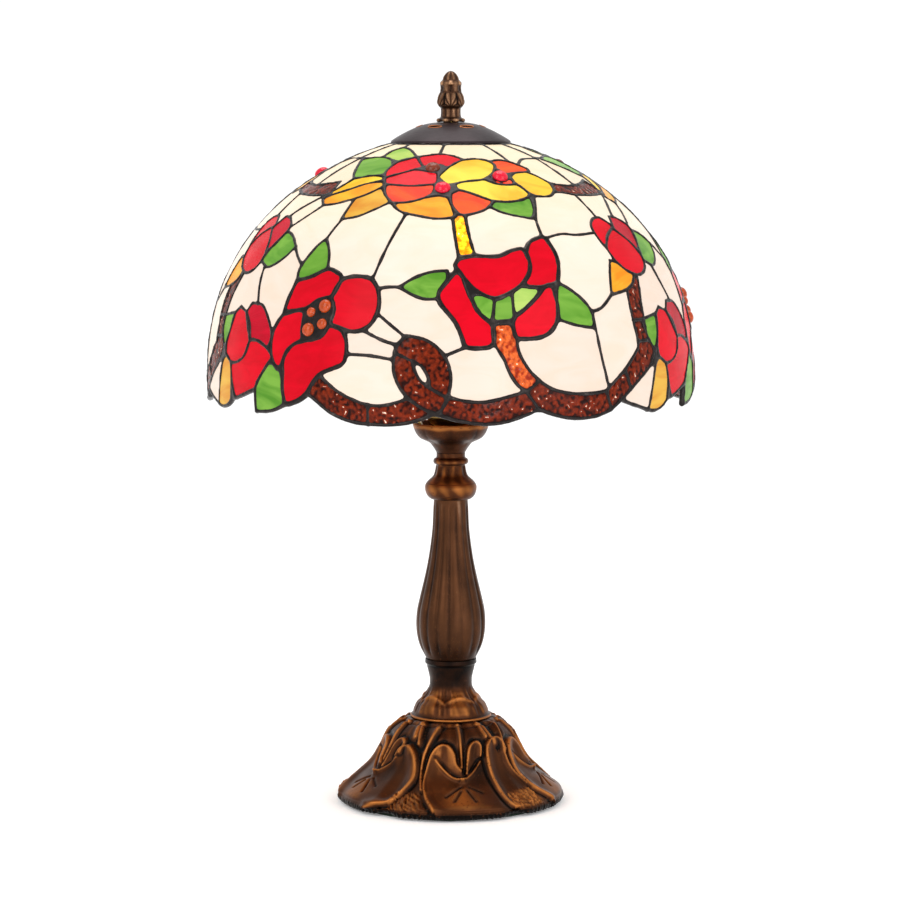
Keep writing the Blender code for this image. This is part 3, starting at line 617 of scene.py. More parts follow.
def pour(store, bm):
    """Add a bmesh to a store of vertices and faces, and free it."""
    first = len(store["verts"])
    store["verts"] += [v.co.copy() for v in bm.verts]
    store["faces"] += [tuple(first + v.index for v in face.verts) for face in bm.faces]
    bm.free()


def ring_faces(first, rings, sides, closed):
    """Quads between rings of points; closed joins the last ring to the first one."""
    faces = []
    for ring in range(rings if closed else rings - 1):
        here = first + ring * sides
        there = first + (ring + 1) % rings * sides
        for k in range(sides):
            after = (k + 1) % sides
            faces.append((here + k, here + after, there + after, there + k))
    return faces


def set_attribute(made, name, values):
    layer = made.data.attributes.new(name, "FLOAT", "POINT")
    layer.data.foreach_set("value", np.asarray(values, dtype=np.float32))


def inside_outline(point, outline):
    """Whether a plane point lies inside a closed outline of plane points."""
    x, y = point
    px, py = outline[:, 0], outline[:, 1]
    qx, qy = np.roll(px, -1), np.roll(py, -1)
    crosses = (py > y) != (qy > y)
    with np.errstate(divide="ignore", invalid="ignore"):
        at = (qx - px) * (y - py) / (qy - py) + px
    return bool(np.count_nonzero(crosses & (x < at)) % 2)


def apply_modifiers(made):
    graph = bpy.context.evaluated_depsgraph_get()
    mesh = bpy.data.meshes.new_from_object(made.evaluated_get(graph))
    made.modifiers.clear()
    made.data = mesh
    return made


# ======================= panes =======================
FIELD_STEP = 2.6          # degrees between points inside a plain pane
RIPPLE_STEP = 0.62        # closer points carry the ripple of rippled glass
RIPPLE_ROW_SHARE = 0.87   # rows are this share of the step apart
FIELD_ROW_SHARE = 0.92
FIELD_ROWS = 34
FIELD_START = -4.0        # degrees, below the hem's highest points
PANE_INSET = 0.22         # degrees that a pane stays short of its lead lines


LEAD_CELL = 0.45          # degrees that a ripple point keeps from any lead line
FIELD_CELL = 1.6          # and a point inside a pane from everything laid before it


def cell(place, size):
    return int(place[0] // size), int(place[1] // size)


def open_space(place, taken, size):
    """Whether the cell of a place and its eight neighbours are still empty."""
    x, y = cell(place, size)
    return all((x + i, y + j) not in taken for i in (-1, 0, 1) for j in (-1, 0, 1))


def lead_points(all_lines):
    """Points and edges along every lead line of the whole dome, welded where lines meet."""
    points, edges, places = [], [], {}
    for repeat in range(REPEATS):
        for line in all_lines:
            ids = []
            for azimuth, latitude in line:
                place = to_plane(azimuth + repeat * REPEAT_ANGLE, latitude)
                key = (round(place.x, 2), round(place.y, 2))
                if key not in places:
                    places[key] = len(points)
                    points.append(place)
                ids.append(places[key])
            edges.extend((a, b) for a, b in zip(ids, ids[1:]) if a != b)
    return points, edges


def lattice(corners):
    """Staggered rows of places inside an outline of rippled glass."""
    low, high = corners.min(0), corners.max(0)
    latitude = low[1]
    row = 0
    while latitude < high[1]:
        step = RIPPLE_STEP / arc_scale(latitude)
        azimuth = low[0] + 0.5 * step * (row % 2)
        while azimuth < high[0]:
            if inside_outline((azimuth, latitude), corners):
                yield azimuth, latitude
            azimuth += step
        latitude += RIPPLE_STEP * RIPPLE_ROW_SHARE
        row += 1


def ripple_points(outlines, points):
    """Close points inside rippled glass, clear of the lead lines."""
    taken = {cell(place, LEAD_CELL) for place in points}
    ripples = [np.array(outline) for glass, outline in outlines if glass.endswith("ripple")]
    places = [to_plane(azimuth + repeat * REPEAT_ANGLE, latitude)
              for repeat in range(REPEATS) for corners in ripples for azimuth, latitude in lattice(corners)]
    return [place for place in places if open_space(place, taken, LEAD_CELL)]


def field_points(points):
    """Wider points that keep the large plain panes on the curve of the dome."""
    taken = {cell(place, FIELD_CELL) for place in points}
    places = []
    for row in range(FIELD_ROWS):
        latitude = FIELD_START + row * FIELD_STEP * FIELD_ROW_SHARE
        count = max(6, round(360.0 * arc_scale(latitude) / FIELD_STEP))
        places += [to_plane((k + 0.5 * (row % 2)) * 360.0 / count, latitude) for k in range(count)]
    return [place for place in places if open_space(place, taken, FIELD_CELL)]


def sides_of(triangle):
    a, b, c = triangle
    return [tuple(sorted(edge)) for edge in ((a, b), (b, c), (c, a))]


def grouped(triangles, walls):
    """Flood the triangles into groups that no lead line crosses."""
    beside = {}
    for index, triangle in enumerate(triangles):
        for side in sides_of(triangle):
            beside.setdefault(side, []).append(index)
    seen = set()
    groups = []
    for seed in range(len(triangles)):
        if seed in seen:
            continue
        seen.add(seed)
        members = [seed]
        stack = [seed]
        while stack:
            for side in sides_of(triangles[stack.pop()]):
                fresh = [k for k in beside[side] if side not in walls and k not in seen]
                seen.update(fresh)
                members += fresh
                stack += fresh
        groups.append([triangles[k] for k in members])
    return groups


def pattern_faces(hem, crown, outlines, lines):
    """Cut the unrolled dome along every lead line, and group the triangles into panes."""
    points, edges = lead_points([hem, crown] + [outline for _glass, outline in outlines] + lines)
    points += ripple_points(outlines, points)
    points += field_points(points)
    cdt = delaunay_2d_cdt(points, edges, [], 0, 0.0005, True)
    verts = [Vector(v) for v in cdt[0]]
    triangles = [tuple(t) for t in cdt[2]]
    walls = {tuple(sorted(edge)) for edge, source in zip(cdt[1], cdt[4]) if source}
    return verts, grouped(triangles, walls)


def border_of(triangles):
    """The boundary edges of a group, each with its triangle on the left."""
    edges = dict.fromkeys(edge for a, b, c in triangles for edge in ((a, b), (b, c), (c, a)))
    return [edge for edge in edges if (edge[1], edge[0]) not in edges]


def measure(verts, triangles, border):
    """Area and rim length of a group on the dome, in degrees of arc."""
    area = 0.0
    largest = (0.0, None)
    for a, b, c in triangles:
        middle = (verts[a] + verts[b] + verts[c]) / 3.0
        azimuth, latitude = from_plane(middle)
        reach = math.radians(90.0 - latitude)
        squeeze = math.sin(reach) / max(reach, 1e-6)
        size = 0.5 * abs((verts[b] - verts[a]).cross(verts[c] - verts[a])) * squeeze
        area += size
        if size > largest[0]:
            largest = (size, (azimuth, latitude))
    rim = 0.0
    for a, b in border:
        p, q = from_plane(verts[a]), from_plane(verts[b])
        rim += line_length(p, (p[0] + (q[0] - p[0] + 180.0) % 360.0 - 180.0, q[1]))
    return area, rim, largest[1]


def glass_at(place, outlines):
    """The glass of the last outline that holds a place on the dome, or ivory."""
    found = "ivory"
    for turn in (-2, -1, 0, 1, 2):
        point = (place[0] + turn * REPEAT_ANGLE, place[1])
        for glass, outline in outlines:
            if inside_outline(point, outline):
                found = glass
    return found


def ripple_height(place):
    """Height of the ripple in rippled glass, 0 to 1."""
    wide = noise.noise(place * 560.0)
    fine = noise.noise(place * 1150.0 + Vector((7.0, 3.0, 5.0)))
    return min(max(0.5 + 0.75 * wide + 0.35 * fine, 0.0), 1.0)


def pane_mesh(verts, triangles, border, store, tone, ripple):
    """One pane: two skins and an edge, kept short of the lead lines."""
    inward = {}
    for a, b in border:
        along = verts[b] - verts[a]
        if along.length < 1e-6:
            continue
        along.normalize()
        for corner in (a, b):
            inward.setdefault(corner, []).append(Vector((-along.y, along.x)))
    index = {}
    for corner in {v for triangle in triangles for v in triangle}:
        place = verts[corner].copy()
        if corner in inward:
            push = sum(inward[corner], Vector((0.0, 0.0)))
            if push.length > 1e-3:
                place += push.normalized() * PANE_INSET
        azimuth, latitude = from_plane(place)
        outer = to_dome(azimuth, latitude, 0.0)
        crest = 0.5
        if ripple:
            crest = ripple_height(outer)
            if corner in inward:
                crest *= 0.6
            outer = to_dome(azimuth, latitude, 0.35 - 0.75 * crest)
        inner = to_dome(azimuth, latitude, GLASS_THICKNESS)
        index[corner] = len(store["verts"])
        store["verts"] += [outer, inner]
        store["tone"] += [tone, tone]
        store["crest"] += [crest, 0.5]
    for a, b, c in triangles:
        i, j, k = index[a], index[b], index[c]
        store["faces"].append((i, j, k))
        store["faces"].append((k + 1, j + 1, i + 1))
    for a, b in border:
        i, j = index[a], index[b]
        store["faces"].append((j, i, i + 1, j + 1))


def build_glass(hem, crown, outlines, lines):
    """All panes of the dome, one object for each kind of glass."""
    verts, groups = pattern_faces(hem, crown, outlines, lines)
    rng = random.Random(12)
    stores = {}
    filled = []
    shapes = [(glass, np.array(outline)) for glass, outline in outlines]
    for triangles in groups:
        border = border_of(triangles)
        area, rim, middle = measure(verts, triangles, border)
        if middle is None or area > 4000.0 or middle[1] > SHADE_TOP_LATITUDE:
            continue
        low = min(from_plane(verts[a])[1] for a, _b in border)
        if below_hem(middle, hem) and low < 3.0:
            continue
        glass = glass_at(middle, shapes)
        tone = rng.random()
        gap = glass == "ivory" and area < SMALLEST_IVORY
        if glass == "solder" or gap or 2.0 * area / max(rim, 1e-6) < SLIVER:
            if area > 0.02:
                filled.append(triangles)
            continue
        glass = "ivory" if glass == "cream" else glass
        store = stores.setdefault(glass, {"verts": [], "faces": [], "tone": [], "crest": []})
        pane_mesh(verts, triangles, border, store, tone, glass.endswith("ripple"))
    made = {}
    for glass, store in stores.items():
        surface = glass_surface(glass) if glass in GLASS else ripple_surface(glass)
        panes = new_object(glass + "_panes", store["verts"], store["faces"], surface, 50.0)
        set_attribute(panes, "tone", store["tone"])
        set_attribute(panes, "crest", store["crest"])
        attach(panes, "shade")
        made[glass] = panes
    return made, verts, filled


def below_hem(place, hem):
    """Whether a place lies lower than the scalloped hem line."""
    azimuth = (place[0] + 78.2) % REPEAT_ANGLE - 78.2
    line = np.array(hem)
    heights = [a[1] + (b[1] - a[1]) * (azimuth - a[0]) / (b[0] - a[0])
               for a, b in zip(line, line[1:]) if a[0] <= azimuth <= b[0] and b[0] - a[0] > 1e-6]
    return bool(heights) and place[1] < min(heights)


# ======================= solder =======================
BEAD_HALF_WIDTH = 1.45    # of an ordinary solder line, millimetres
THICK_HALF_WIDTH = 1.95
BEAD_HALF_HEIGHT = 2.1
SOLDER_VOXEL = 0.00084


def bead(store, line, half_width, half_height=BEAD_HALF_HEIGHT, sides=10):
    """Sweep an oval solder bead along a line of dome places."""
    places = [to_dome(azimuth, latitude, 0.5 * GLASS_THICKNESS) for azimuth, latitude in line]
    kept = [(line[0], places[0])]
    for spot, place in zip(line[1:], places[1:]):
        if (place - kept[-1][1]).length > 0.4 * MM:
            kept.append((spot, place))
    if len(kept) < 2:
        return
    centre = Vector((0, 0, SHADE_CENTRE_Z * MM))
    first = len(store["verts"])
    count = len(kept)
    for k, (_spot, place) in enumerate(kept):
        along = (kept[min(k + 1, count - 1)][1] - kept[max(k - 1, 0)][1]).normalized()
        out = (place - centre).normalized()
        across = along.cross(out).normalized()
        uneven = 1.0 + 0.16 * noise.noise(place * 260.0)
        for s in range(sides):
            turn = 2 * math.pi * s / sides
            store["verts"].append(place + (across * math.cos(turn) * half_width
                                           + out * math.sin(turn) * half_height) * uneven * MM)
    store["faces"] += ring_faces(first, count, sides, False)
    store["faces"].append(tuple(first + s for s in reversed(range(sides))))
    store["faces"].append(tuple(first + (count - 1) * sides + s for s in range(sides)))


def blob(store, spot, radius):
    """A round blob of solder at a joint."""
    place = to_dome(spot[0], spot[1], 0.5 * GLASS_THICKNESS)
    out = (place - Vector((0, 0, SHADE_CENTRE_Z * MM))).normalized()
    turn = out.to_track_quat("Z", "Y").to_matrix().to_4x4()
    bm = bmesh.new()
    bmesh.ops.create_uvsphere(bm, u_segments=12, v_segments=8, radius=1.0)
    bm.transform(Matrix.Translation(place) @ turn
                 @ Matrix.Diagonal((radius * MM, radius * MM, 2.1 * MM, 1.0)))
    pour(store, bm)


POOL_DEPTHS = (-0.55, GLASS_THICKNESS + 0.4)      # outer and inner face, in from the dome


def pool(store, verts, triangles):
    """Solder that fills a narrow gap or the heart of a flower."""
    border = border_of(triangles)
    index = {}
    for corner in {v for triangle in triangles for v in triangle}:
        azimuth, latitude = from_plane(verts[corner])
        index[corner] = len(store["verts"])
        store["verts"] += [to_dome(azimuth, latitude, depth) for depth in POOL_DEPTHS]
    for a, b, c in triangles:
        i, j, k = index[a], index[b], index[c]
        store["faces"] += [(i, j, k), (k + 1, j + 1, i + 1)]
    store["faces"] += [(index[b], index[a], index[a] + 1, index[b] + 1) for a, b in border]


CORNER_BLOB = 1.75        # radii of the drops of solder
END_BLOB = 1.9
HEM_BEAD = (1.35, 1.75)   # half width and half height
CROWN_HALF_WIDTH = 1.5


def build_solder(hem, crown, outlines, lines, verts, filled):
    """The solder lines of each third of the dome, melted into one surface."""
    surface = solder_surface()
    for repeat in range(REPEATS):
        turn = repeat * REPEAT_ANGLE
        store = {"verts": [], "faces": []}

        def turned_line(line):
            return [(azimuth + turn, latitude) for azimuth, latitude in line]

        for k, (_glass, outline) in enumerate(outlines):
            bead(store, turned_line(outline), THICK_HALF_WIDTH if k in THICK_LINES else BEAD_HALF_WIDTH)
            corners = [outline[0]] + [b for a, b, c in zip(outline, outline[1:], outline[2:])
                                      if turn_at(a, b, c) > CORNER_ANGLE]
            for spot in corners:
                blob(store, (spot[0] + turn, spot[1]), CORNER_BLOB)
        for line in lines:
            bead(store, turned_line(line), BEAD_HALF_WIDTH)
            for spot in (line[0], line[-1]):
                blob(store, (spot[0] + turn, spot[1]), END_BLOB)
        bead(store, turned_line(hem), *HEM_BEAD)
        bead(store, turned_line(crown), CROWN_HALF_WIDTH)
        jewel_rings(store, turn)
        for triangles in filled:
            middle = sum((verts[v] for v in triangles[0]), Vector((0.0, 0.0))) / 3.0
            azimuth = from_plane(middle)[0]
            if (azimuth - PATTERN_START - turn) % 360.0 < REPEAT_ANGLE:
                pool(store, verts, triangles)
        solder = new_object("solder_lines_" + str(repeat + 1), store["verts"], store["faces"], surface, None)
        remesh = solder.modifiers.new("melt", "REMESH")
        remesh.mode = "VOXEL"
        remesh.voxel_size = SOLDER_VOXEL
        soften = solder.modifiers.new("soften", "SMOOTH")
        soften.factor = 0.5
        soften.iterations = 3
        apply_modifiers(solder)
        solder.data.materials.clear()
        solder.data.materials.append(surface)
        solder.data.shade_smooth()
        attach(solder, "shade")


# ======================= jewels =======================
def jewel_surface(kind):
    """Polished glass with a lighter swirl in it, which also glows faintly as painted light from the bulb
    behind.
    """
    made = Surface(kind + "_jewel")
    colour = rgb(*JEWEL_COLOURS[kind])
    light = tuple(min(1.0, c * 1.7 + 0.01) for c in colour[:3]) + (1.0,)
    swirl = made.ramp(made.noise(420.0, 2.0), [(0.45, colour), (0.85, light)])
    made.paint(swirl)
    # painted glow: the jewel's colour is also emitted, for the bulb's light shining through it
    made.glow(swirl, 0.12)
    made.set(Roughness=0.05, Specular_IOR_Level=0.35)
    return made.material


def build_jewels():
    """Domed cabochons set in the solder."""
    stores = {}
    for repeat in range(REPEATS):
        for azimuth, latitude, radius, kind in JEWELS:
            place = to_dome(azimuth + repeat * REPEAT_ANGLE, latitude, -0.3)
            out = (place - Vector((0, 0, SHADE_CENTRE_Z * MM))).normalized()
            bm = bmesh.new()
            bmesh.ops.create_uvsphere(bm, u_segments=28, v_segments=16, radius=1.0)
            for v in bm.verts:
                if v.co.z < 0:
                    v.co.z *= 0.3
            turn = out.to_track_quat("Z", "Y").to_matrix().to_4x4()
            size = Matrix.Diagonal((radius * MM, radius * MM, 0.72 * radius * MM, 1.0))
            bm.transform(Matrix.Translation(place) @ turn @ size)
            pour(stores.setdefault(kind, {"verts": [], "faces": []}), bm)
    for kind, store in stores.items():
        made = new_object(kind + "_jewels", store["verts"], store["faces"], jewel_surface(kind), None)
        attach(made, "shade")


def jewel_rings(store, turn):
    """Thin solder collars that hold the jewels."""
    for azimuth, latitude, radius, _kind in JEWELS:
        ring = []
        for k in range(25):
            angle = 2 * math.pi * k / 24
            reach = math.degrees(radius / SHADE_RADIUS)
            ring.append((azimuth + turn + reach * math.cos(angle) / arc_scale(latitude),
                         latitude + reach * math.sin(angle)))
        bead(store, ring, 0.8, 2.0, 8)


# ======================= turned and cast metal =======================
def smooth_profile(points, step):
    """Round a (radius, height) profile through its points, about step apart."""
    out = []
    padded = [points[0]] + list(points) + [points[-1]]
    for a, b, c, d in zip(padded, padded[1:], padded[2:], padded[3:]):
        length = math.hypot(c[0] - b[0], c[1] - b[1])
        steps = max(1, round(length / step))
        out += [catmull_rom(a, b, c, d, k / steps) for k in range(steps)]
    out.append(tuple(points[-1]))
    return out


INSIDE_SHADE = 0.3        # of the plain inside of a casting


def cast(name, outside, inside, surface, segments, relief, step):
    """Turn a closed profile and press a relief into its outside.

    outside runs from bottom to top, inside from top to bottom, in millimetres.
    relief(azimuth, along, radius, height) returns millimetres outwards and a
    shade from 0, a dark hollow, to 1, a worn crest; on the base the crests also carry a
    painted highlight and the feet of the edges a painted shade; along is the run from the bottom.
    """
    outer = np.array(smooth_profile(outside, step))
    inner = np.array(inside)
    slope = np.gradient(outer, axis=0)
    normal = np.stack((slope[:, 1], -slope[:, 0]), 1)
    normal /= np.maximum(np.linalg.norm(normal, axis=1, keepdims=True), 1e-9)
    lengths = np.hypot(*np.diff(outer, axis=0).T)
    along = np.concatenate(([0.0], np.cumsum(lengths)))
    angles = 2 * np.pi * np.arange(segments) / segments
    azimuth, run = np.meshgrid(angles, along)
    radius = np.repeat(outer[:, :1], segments, 1)
    height = np.repeat(outer[:, 1:], segments, 1)
    if relief:
        push, shade = relief(azimuth, run, radius, height)
    else:
        push, shade = np.zeros_like(radius), np.full_like(radius, 0.5)
    r = np.maximum(radius + push * normal[:, :1], 0.0)
    z = height + push * normal[:, 1:]
    verts, tones = [], []

    def add(reach, turn, up, tone):
        verts.append((reach * math.sin(turn) * MM, -reach * math.cos(turn) * MM, up * MM))
        tones.append(float(tone))

    for row in range(len(outer)):
        for k in range(segments):
            add(r[row, k], angles[k], z[row, k], shade[row, k])
    for reach, up in inner:
        for turn in angles:
            add(reach, turn, up, INSIDE_SHADE)
    faces = ring_faces(0, len(outer) + len(inner), segments, True)
    made = new_object(name, verts, faces, surface, 60.0)
    weld = bmesh.new()
    weld.from_mesh(made.data)
    bmesh.ops.remove_doubles(weld, verts=weld.verts, dist=1e-6)
    bmesh.ops.recalc_face_normals(weld, faces=weld.faces)
    weld.to_mesh(made.data)
    weld.free()
    store_shade(made, verts, tones)
    return made


def place_bronze(made, node, body):
    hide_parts(node)
    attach(made, body)


def store_shade(made, verts, tones):
    """Store the relief's shade on the welded mesh."""
    known = {tuple(round(c, 7) for c in v): t for v, t in zip(verts, tones)}
    values = [known.get(tuple(round(c, 7) for c in v.co), 0.5) for v in made.data.vertices]
    set_attribute(made, "relief", values)


def nearest_line(x, y, points):
    """Distance to a line through points on the unrolled surface, and the side it is on."""
    best = np.full(x.shape, 1e9)
    side = np.ones_like(best)
    for (ax, ay), (bx, by) in zip(points, points[1:]):
        dx, dy = bx - ax, by - ay
        px, py = x - ax, y - ay
        t = np.clip((px * dx + py * dy) / (dx * dx + dy * dy), 0.0, 1.0)
        away = (px - t * dx) ** 2 + (py - t * dy) ** 2
        side = np.where(away < best, np.sign(dx * py - dy * px), side)
        best = np.minimum(best, away)
    return np.sqrt(best), side


def fade(value, start, end):
    """0 before start, 1 after end, smooth between."""
    t = np.clip((value - start) / (end - start), 0.0, 1.0)
    return t * t * (3 - 2 * t)


def bell(distance, width):
    """1 in the middle, dying away over a width."""
    return np.exp(-(distance / width) ** 2)


def band(value, start, full, last, end):
    """Rises from 0 to 1 between start and full, and falls back between last and end."""
    return fade(value, start, full) * (1 - fade(value, last, end))


def grain(azimuth, height, across, up, seed):
    """Repeatable rough texture made of a few sine waves."""
    total = np.zeros_like(azimuth)
    rng = random.Random(seed)
    for k in range(7):
        turns = round(across * (0.6 + rng.random()))
        total += np.sin(turns * azimuth + up * (0.6 + rng.random()) * height + rng.random() * 6.3)
    return total / 7.0


# ======================= base =======================
ROD_BORE = 5.3            # clears the threaded rod, in every casting
BASE_OUTSIDE = [(70.0, 1.5), (71.2, 3.2), (71.4, 5.2), (70.4, 7.6), (68.0, 9.8), (64.6, 12.2), (60.6, 15.2),
                (55.7, 19.2), (51.2, 23.2), (47.6, 27.7), (44.6, 33.0), (42.0, 38.0), (39.5, 43.0),
                (37.0, 46.6), (34.0, 49.6), (31.4, 51.6), (29.4, 52.4), (27.6, 53.7)]
BASE_INSIDE = [(ROD_BORE, 53.7), (ROD_BORE, 50.0), (26.0, 49.0), (35.0, 41.0), (40.0, 28.0),
               (47.0, 18.0), (58.0, 9.5), (64.0, 1.5)]
LOBES = 5
BOSS_AT = math.radians(8.0)      # from the lobe's middle to its boss
# The casting's drawing on one lobe, as (degrees from the lobe's middle, millimetres
# down from the top ring), then the line's width and its height in millimetres.
LEAF_EDGES = [
    # points, width of the steep side, height, how much wider the gentle side is, which side that is
    # left edge, and the left loop
    ([(-13, 3.5), (-17, 11), (-21, 20), (-22.5, 29), (-21, 40), (-18.5, 49)], 1.0, 1.8, 2.2, 1),
    ([(-9, 65), (-14, 56), (-17.5, 45), (-18, 34), (-15.5, 23), (-9.5, 17.6), (-2.5, 17.8), (2.2, 22.6),
      (3.8, 29.6), (7.5, 34)], 1.0, 2.3, 4.2, 1),
    # tongue, and the curl beside it
    ([(8, 1.5), (8.6, 12), (8.6, 23), (8.4, 31.5)], 1.1, 1.6, 1.0, 1),
    ([(11.5, 36), (13.0, 28), (15.5, 20), (19.5, 16.2), (24, 15.4), (26.8, 18.4), (25, 24.5)],
     0.9, 1.8, 2.6, 1),
    # left arm and right arm
    ([(-12, 26.8), (-5.6, 32.8), (1.2, 38.3), (7.6, 41)], 0.75, 1.5, 1.6, 1),
    ([(23.8, 28), (17.2, 34.3), (11, 39.4), (8, 41)], 0.75, 1.5, 1.6, -1),
    # folds under the top ring
    ([(33.5, 1), (34, 7), (36, 12.5)], 1.6, 1.1, 1.0, 1),
    ([(-35, 2), (-32, 10), (-30, 17)], 1.6, 1.1, 1.0, 1),
]
RIGHT_EDGE = ([(52, 22.6), (51, 17), (45.5, 14.2), (37, 15.6), (32, 20.4), (30.4, 29), (30.2, 38), (30.8, 48),
               (32.8, 57.5), (37, 63.5)], 1.0, 2.2, 4.0, -1)
SCROLL_EDGE = ([(22, 27), (25, 21.6), (33, 19.4), (40.5, 24.5), (44.6, 33), (45.2, 43), (41.5, 51.6),
                (34, 61), (24, 67)], 1.1, 2.5, 4.5, 1)
LOBE_RAYS = [
    ([(6.5, 45.5), (-2.6, 53.2)], 0.8, 1.4, 1.0, 1),
    ([(6.0, 49.2), (2.2, 57.2)], 0.8, 1.2, 1.0, 1),
    ([(10.2, 48.2), (14, 57.6)], 0.8, 1.4, 1.0, 1),
    ([(12, 45.5), (19.6, 50.4)], 0.8, 1.0, 1.0, 1),
]


def leaf_edge(azimuth, run, radius, middle, drawn):
    """Height, worn crest with a painted highlight, and painted shade at the foot of one drawn edge, on the
    lobe at a given angle.
    """
    points, width, height, spread, gentle = drawn
    reach = [float(np.interp(down, run[::-1, 0], radius[::-1, 0])) for _turn, down in points]
    bent = [(math.radians(turn) * r, down) for (turn, down), r in zip(points, reach)]
    away = (azimuth - middle + math.pi) % (2 * math.pi) - math.pi
    distance, side = nearest_line(away * radius, run, smooth_profile(bent, 1.2))
    inner = side * gentle > 0
    wide = np.where(inner, width * spread, width)
    # painted highlight along the worn crest of the edge
    crest = np.exp(-(distance / (0.8 * width)) ** 2)
    # a shallow groove beside the steep side, painted in shade
    foot = np.where(inner, 0.0, np.exp(-((distance - 2.6 * width) / (1.2 * width)) ** 2))
    return height * np.exp(-(distance / wide) ** 2), crest, foot


def drawn_lobes(azimuth, run, radius, sector):
    """The highest drawn edge, worn crest with its painted highlight, painted shade at the foot and cut ray at
    every place of the base.
    """
    edges, crests, feet, rays = (np.zeros_like(run) for _layer in range(4))
    for k in range(LOBES):
        last = SCROLL_EDGE if k == LOBES - 1 else RIGHT_EDGE
        for drawn in LEAF_EDGES + [last]:
            edge, crest, foot = leaf_edge(azimuth, run, radius, k * sector, drawn)
            edges = np.maximum(edges, edge)
            crests = np.maximum(crests, crest)
            feet = np.maximum(feet, foot)
        for drawn in LOBE_RAYS:
            rays = np.maximum(rays, leaf_edge(azimuth, run, radius, k * sector, drawn)[0])
    return edges, crests, feet * (1.0 - crests), rays


def base_relief(azimuth, along, radius, height):
    """Lobed rim, scrolls and loops, a boss with rays, and bark between the lobes."""
    run = along.max() - along                         # millimetres down from the top ring
    sector = 2 * math.pi / LOBES
    local = (azimuth + 0.5 * sector) % sector - 0.5 * sector
    share = np.abs(local) / (0.5 * sector)
    low = fade(run, 20.0, 62.0)
    push = -2.9 * low * fade(share, 0.74, 1.0)                  # valleys between the lobes
    edges, crests, feet, rays = drawn_lobes(azimuth, run, radius, sector)
    boss_x = (local - BOSS_AT) * radius
    boss = 2.2 * bell(np.hypot(boss_x, run - 40.5), math.sqrt(5.5))
    cushion = 1.0 * bell(boss_x, 13.0) * band(run, 42.0, 49.0, 61.0, 66.0)
    hollow = 0.6 * bell(boss_x - 11.0, 6.0) * band(run, 20.0, 32.0, 48.0, 56.0)
    push += edges + boss + cushion - rays - hollow - 0.7 * feet

    bark_zone = (1 - fade(np.degrees(local), -19.0, -13.0)) * band(run, 49.0, 54.0, 64.5, 67.0)
    bark = grain(azimuth, height, 150, 1.1, 3) * 1.5 + grain(azimuth, height, 60, 2.2, 5) * 0.8
    push += bark * bark_zone
    ticks = fade(run, 66.0, 68.0)
    push += ticks * 0.9 * grain(azimuth, height, 110, 0.3, 9)
    push -= 0.7 * bell(run - 65.6, 0.8)
    push -= 0.8 * bell(run - 3.2, 0.9)                          # groove under the top ring

    folds = grain(azimuth, height, 34, 0.05, 13) * (1 - fade(run, 26.0, 40.0))
    # painted highlight on the worn crests, and painted shade at the feet of the steep sides
    shade = 0.38 + 0.40 * crests + 0.07 * edges - 0.34 * feet + 0.22 * folds + 0.10 * boss
    shade += 0.30 * bell(boss_x, 15.0) * band(run, 42.0, 50.0, 62.0, 66.0)
    shade += 0.12 * bell(boss_x + 13.0, 6.0) * band(run, 16.0, 22.0, 40.0, 50.0)
    shade += bark_zone * (0.26 + 0.16 * bark) - 0.20 * hollow
    shade += 0.20 * bell(run - 1.2, 1.2) - 0.30 * ticks - 0.30 * rays
    return push, np.clip(shade, 0.0, 1.0)


def build_base(surface):
    made = cast("relief_base", BASE_OUTSIDE, BASE_INSIDE, surface, 640, base_relief, 0.6)
    place_bronze(made, "base_shell", "stand")


# ======================= column =======================
FOOT_OUTSIDE = [(25.4, 54.0), (25.7, 55.0), (25.0, 56.2), (23.8, 57.4), (22.6, 60.0), (21.3, 62.6),
                (18.8, 65.0), (16.3, 68.0), (14.8, 70.4), (13.6, 73.4), (13.4, 78.0), (13.9, 81.0),
                (14.6, 84.0), (15.3, 86.6), (16.3, 88.2), (16.2, 91.0)]
COLUMN_OUTSIDE = [(15.6, 91.3), (16.5, 93.0), (19.2, 98.6), (20.9, 104.0), (21.8, 110.0), (21.9, 116.0),
                  (21.3, 122.5), (19.8, 129.5), (18.0, 137.0), (16.0, 145.5), (14.1, 155.0), (12.6, 165.0),
                  (11.5, 175.0), (11.0, 186.0), (10.7, 192.7)]
KNOB_OUTSIDE = [(12.6, 193.0), (14.2, 194.2), (15.6, 196.4), (16.3, 199.5), (16.0, 201.8), (14.6, 204.0),
                (12.2, 206.2), (10.4, 208.2), (9.6, 211.0), (9.2, 213.4), (9.1, 214.6), (10.6, 215.4),
                (11.0, 216.8), (10.5, 218.2), (9.1, 219.2), (9.0, 222.0)]
HUSK_OUTSIDE = [(9.0, 222.3), (9.6, 223.4), (11.3, 226.0), (13.5, 228.6), (16.8, 230.2), (19.8, 231.8),
                (22.0, 234.4), (23.4, 237.4), (23.9, 239.6), (23.8, 240.7), (23.0, 241.1)]
HUSK_INSIDE = [(22.4, 240.2), (21.9, 237.6), (20.4, 234.6), (17.4, 232.0), (14.6, 230.6),
               (ROD_BORE, 230.4), (ROD_BORE, 222.3)]
FLUTES = 16


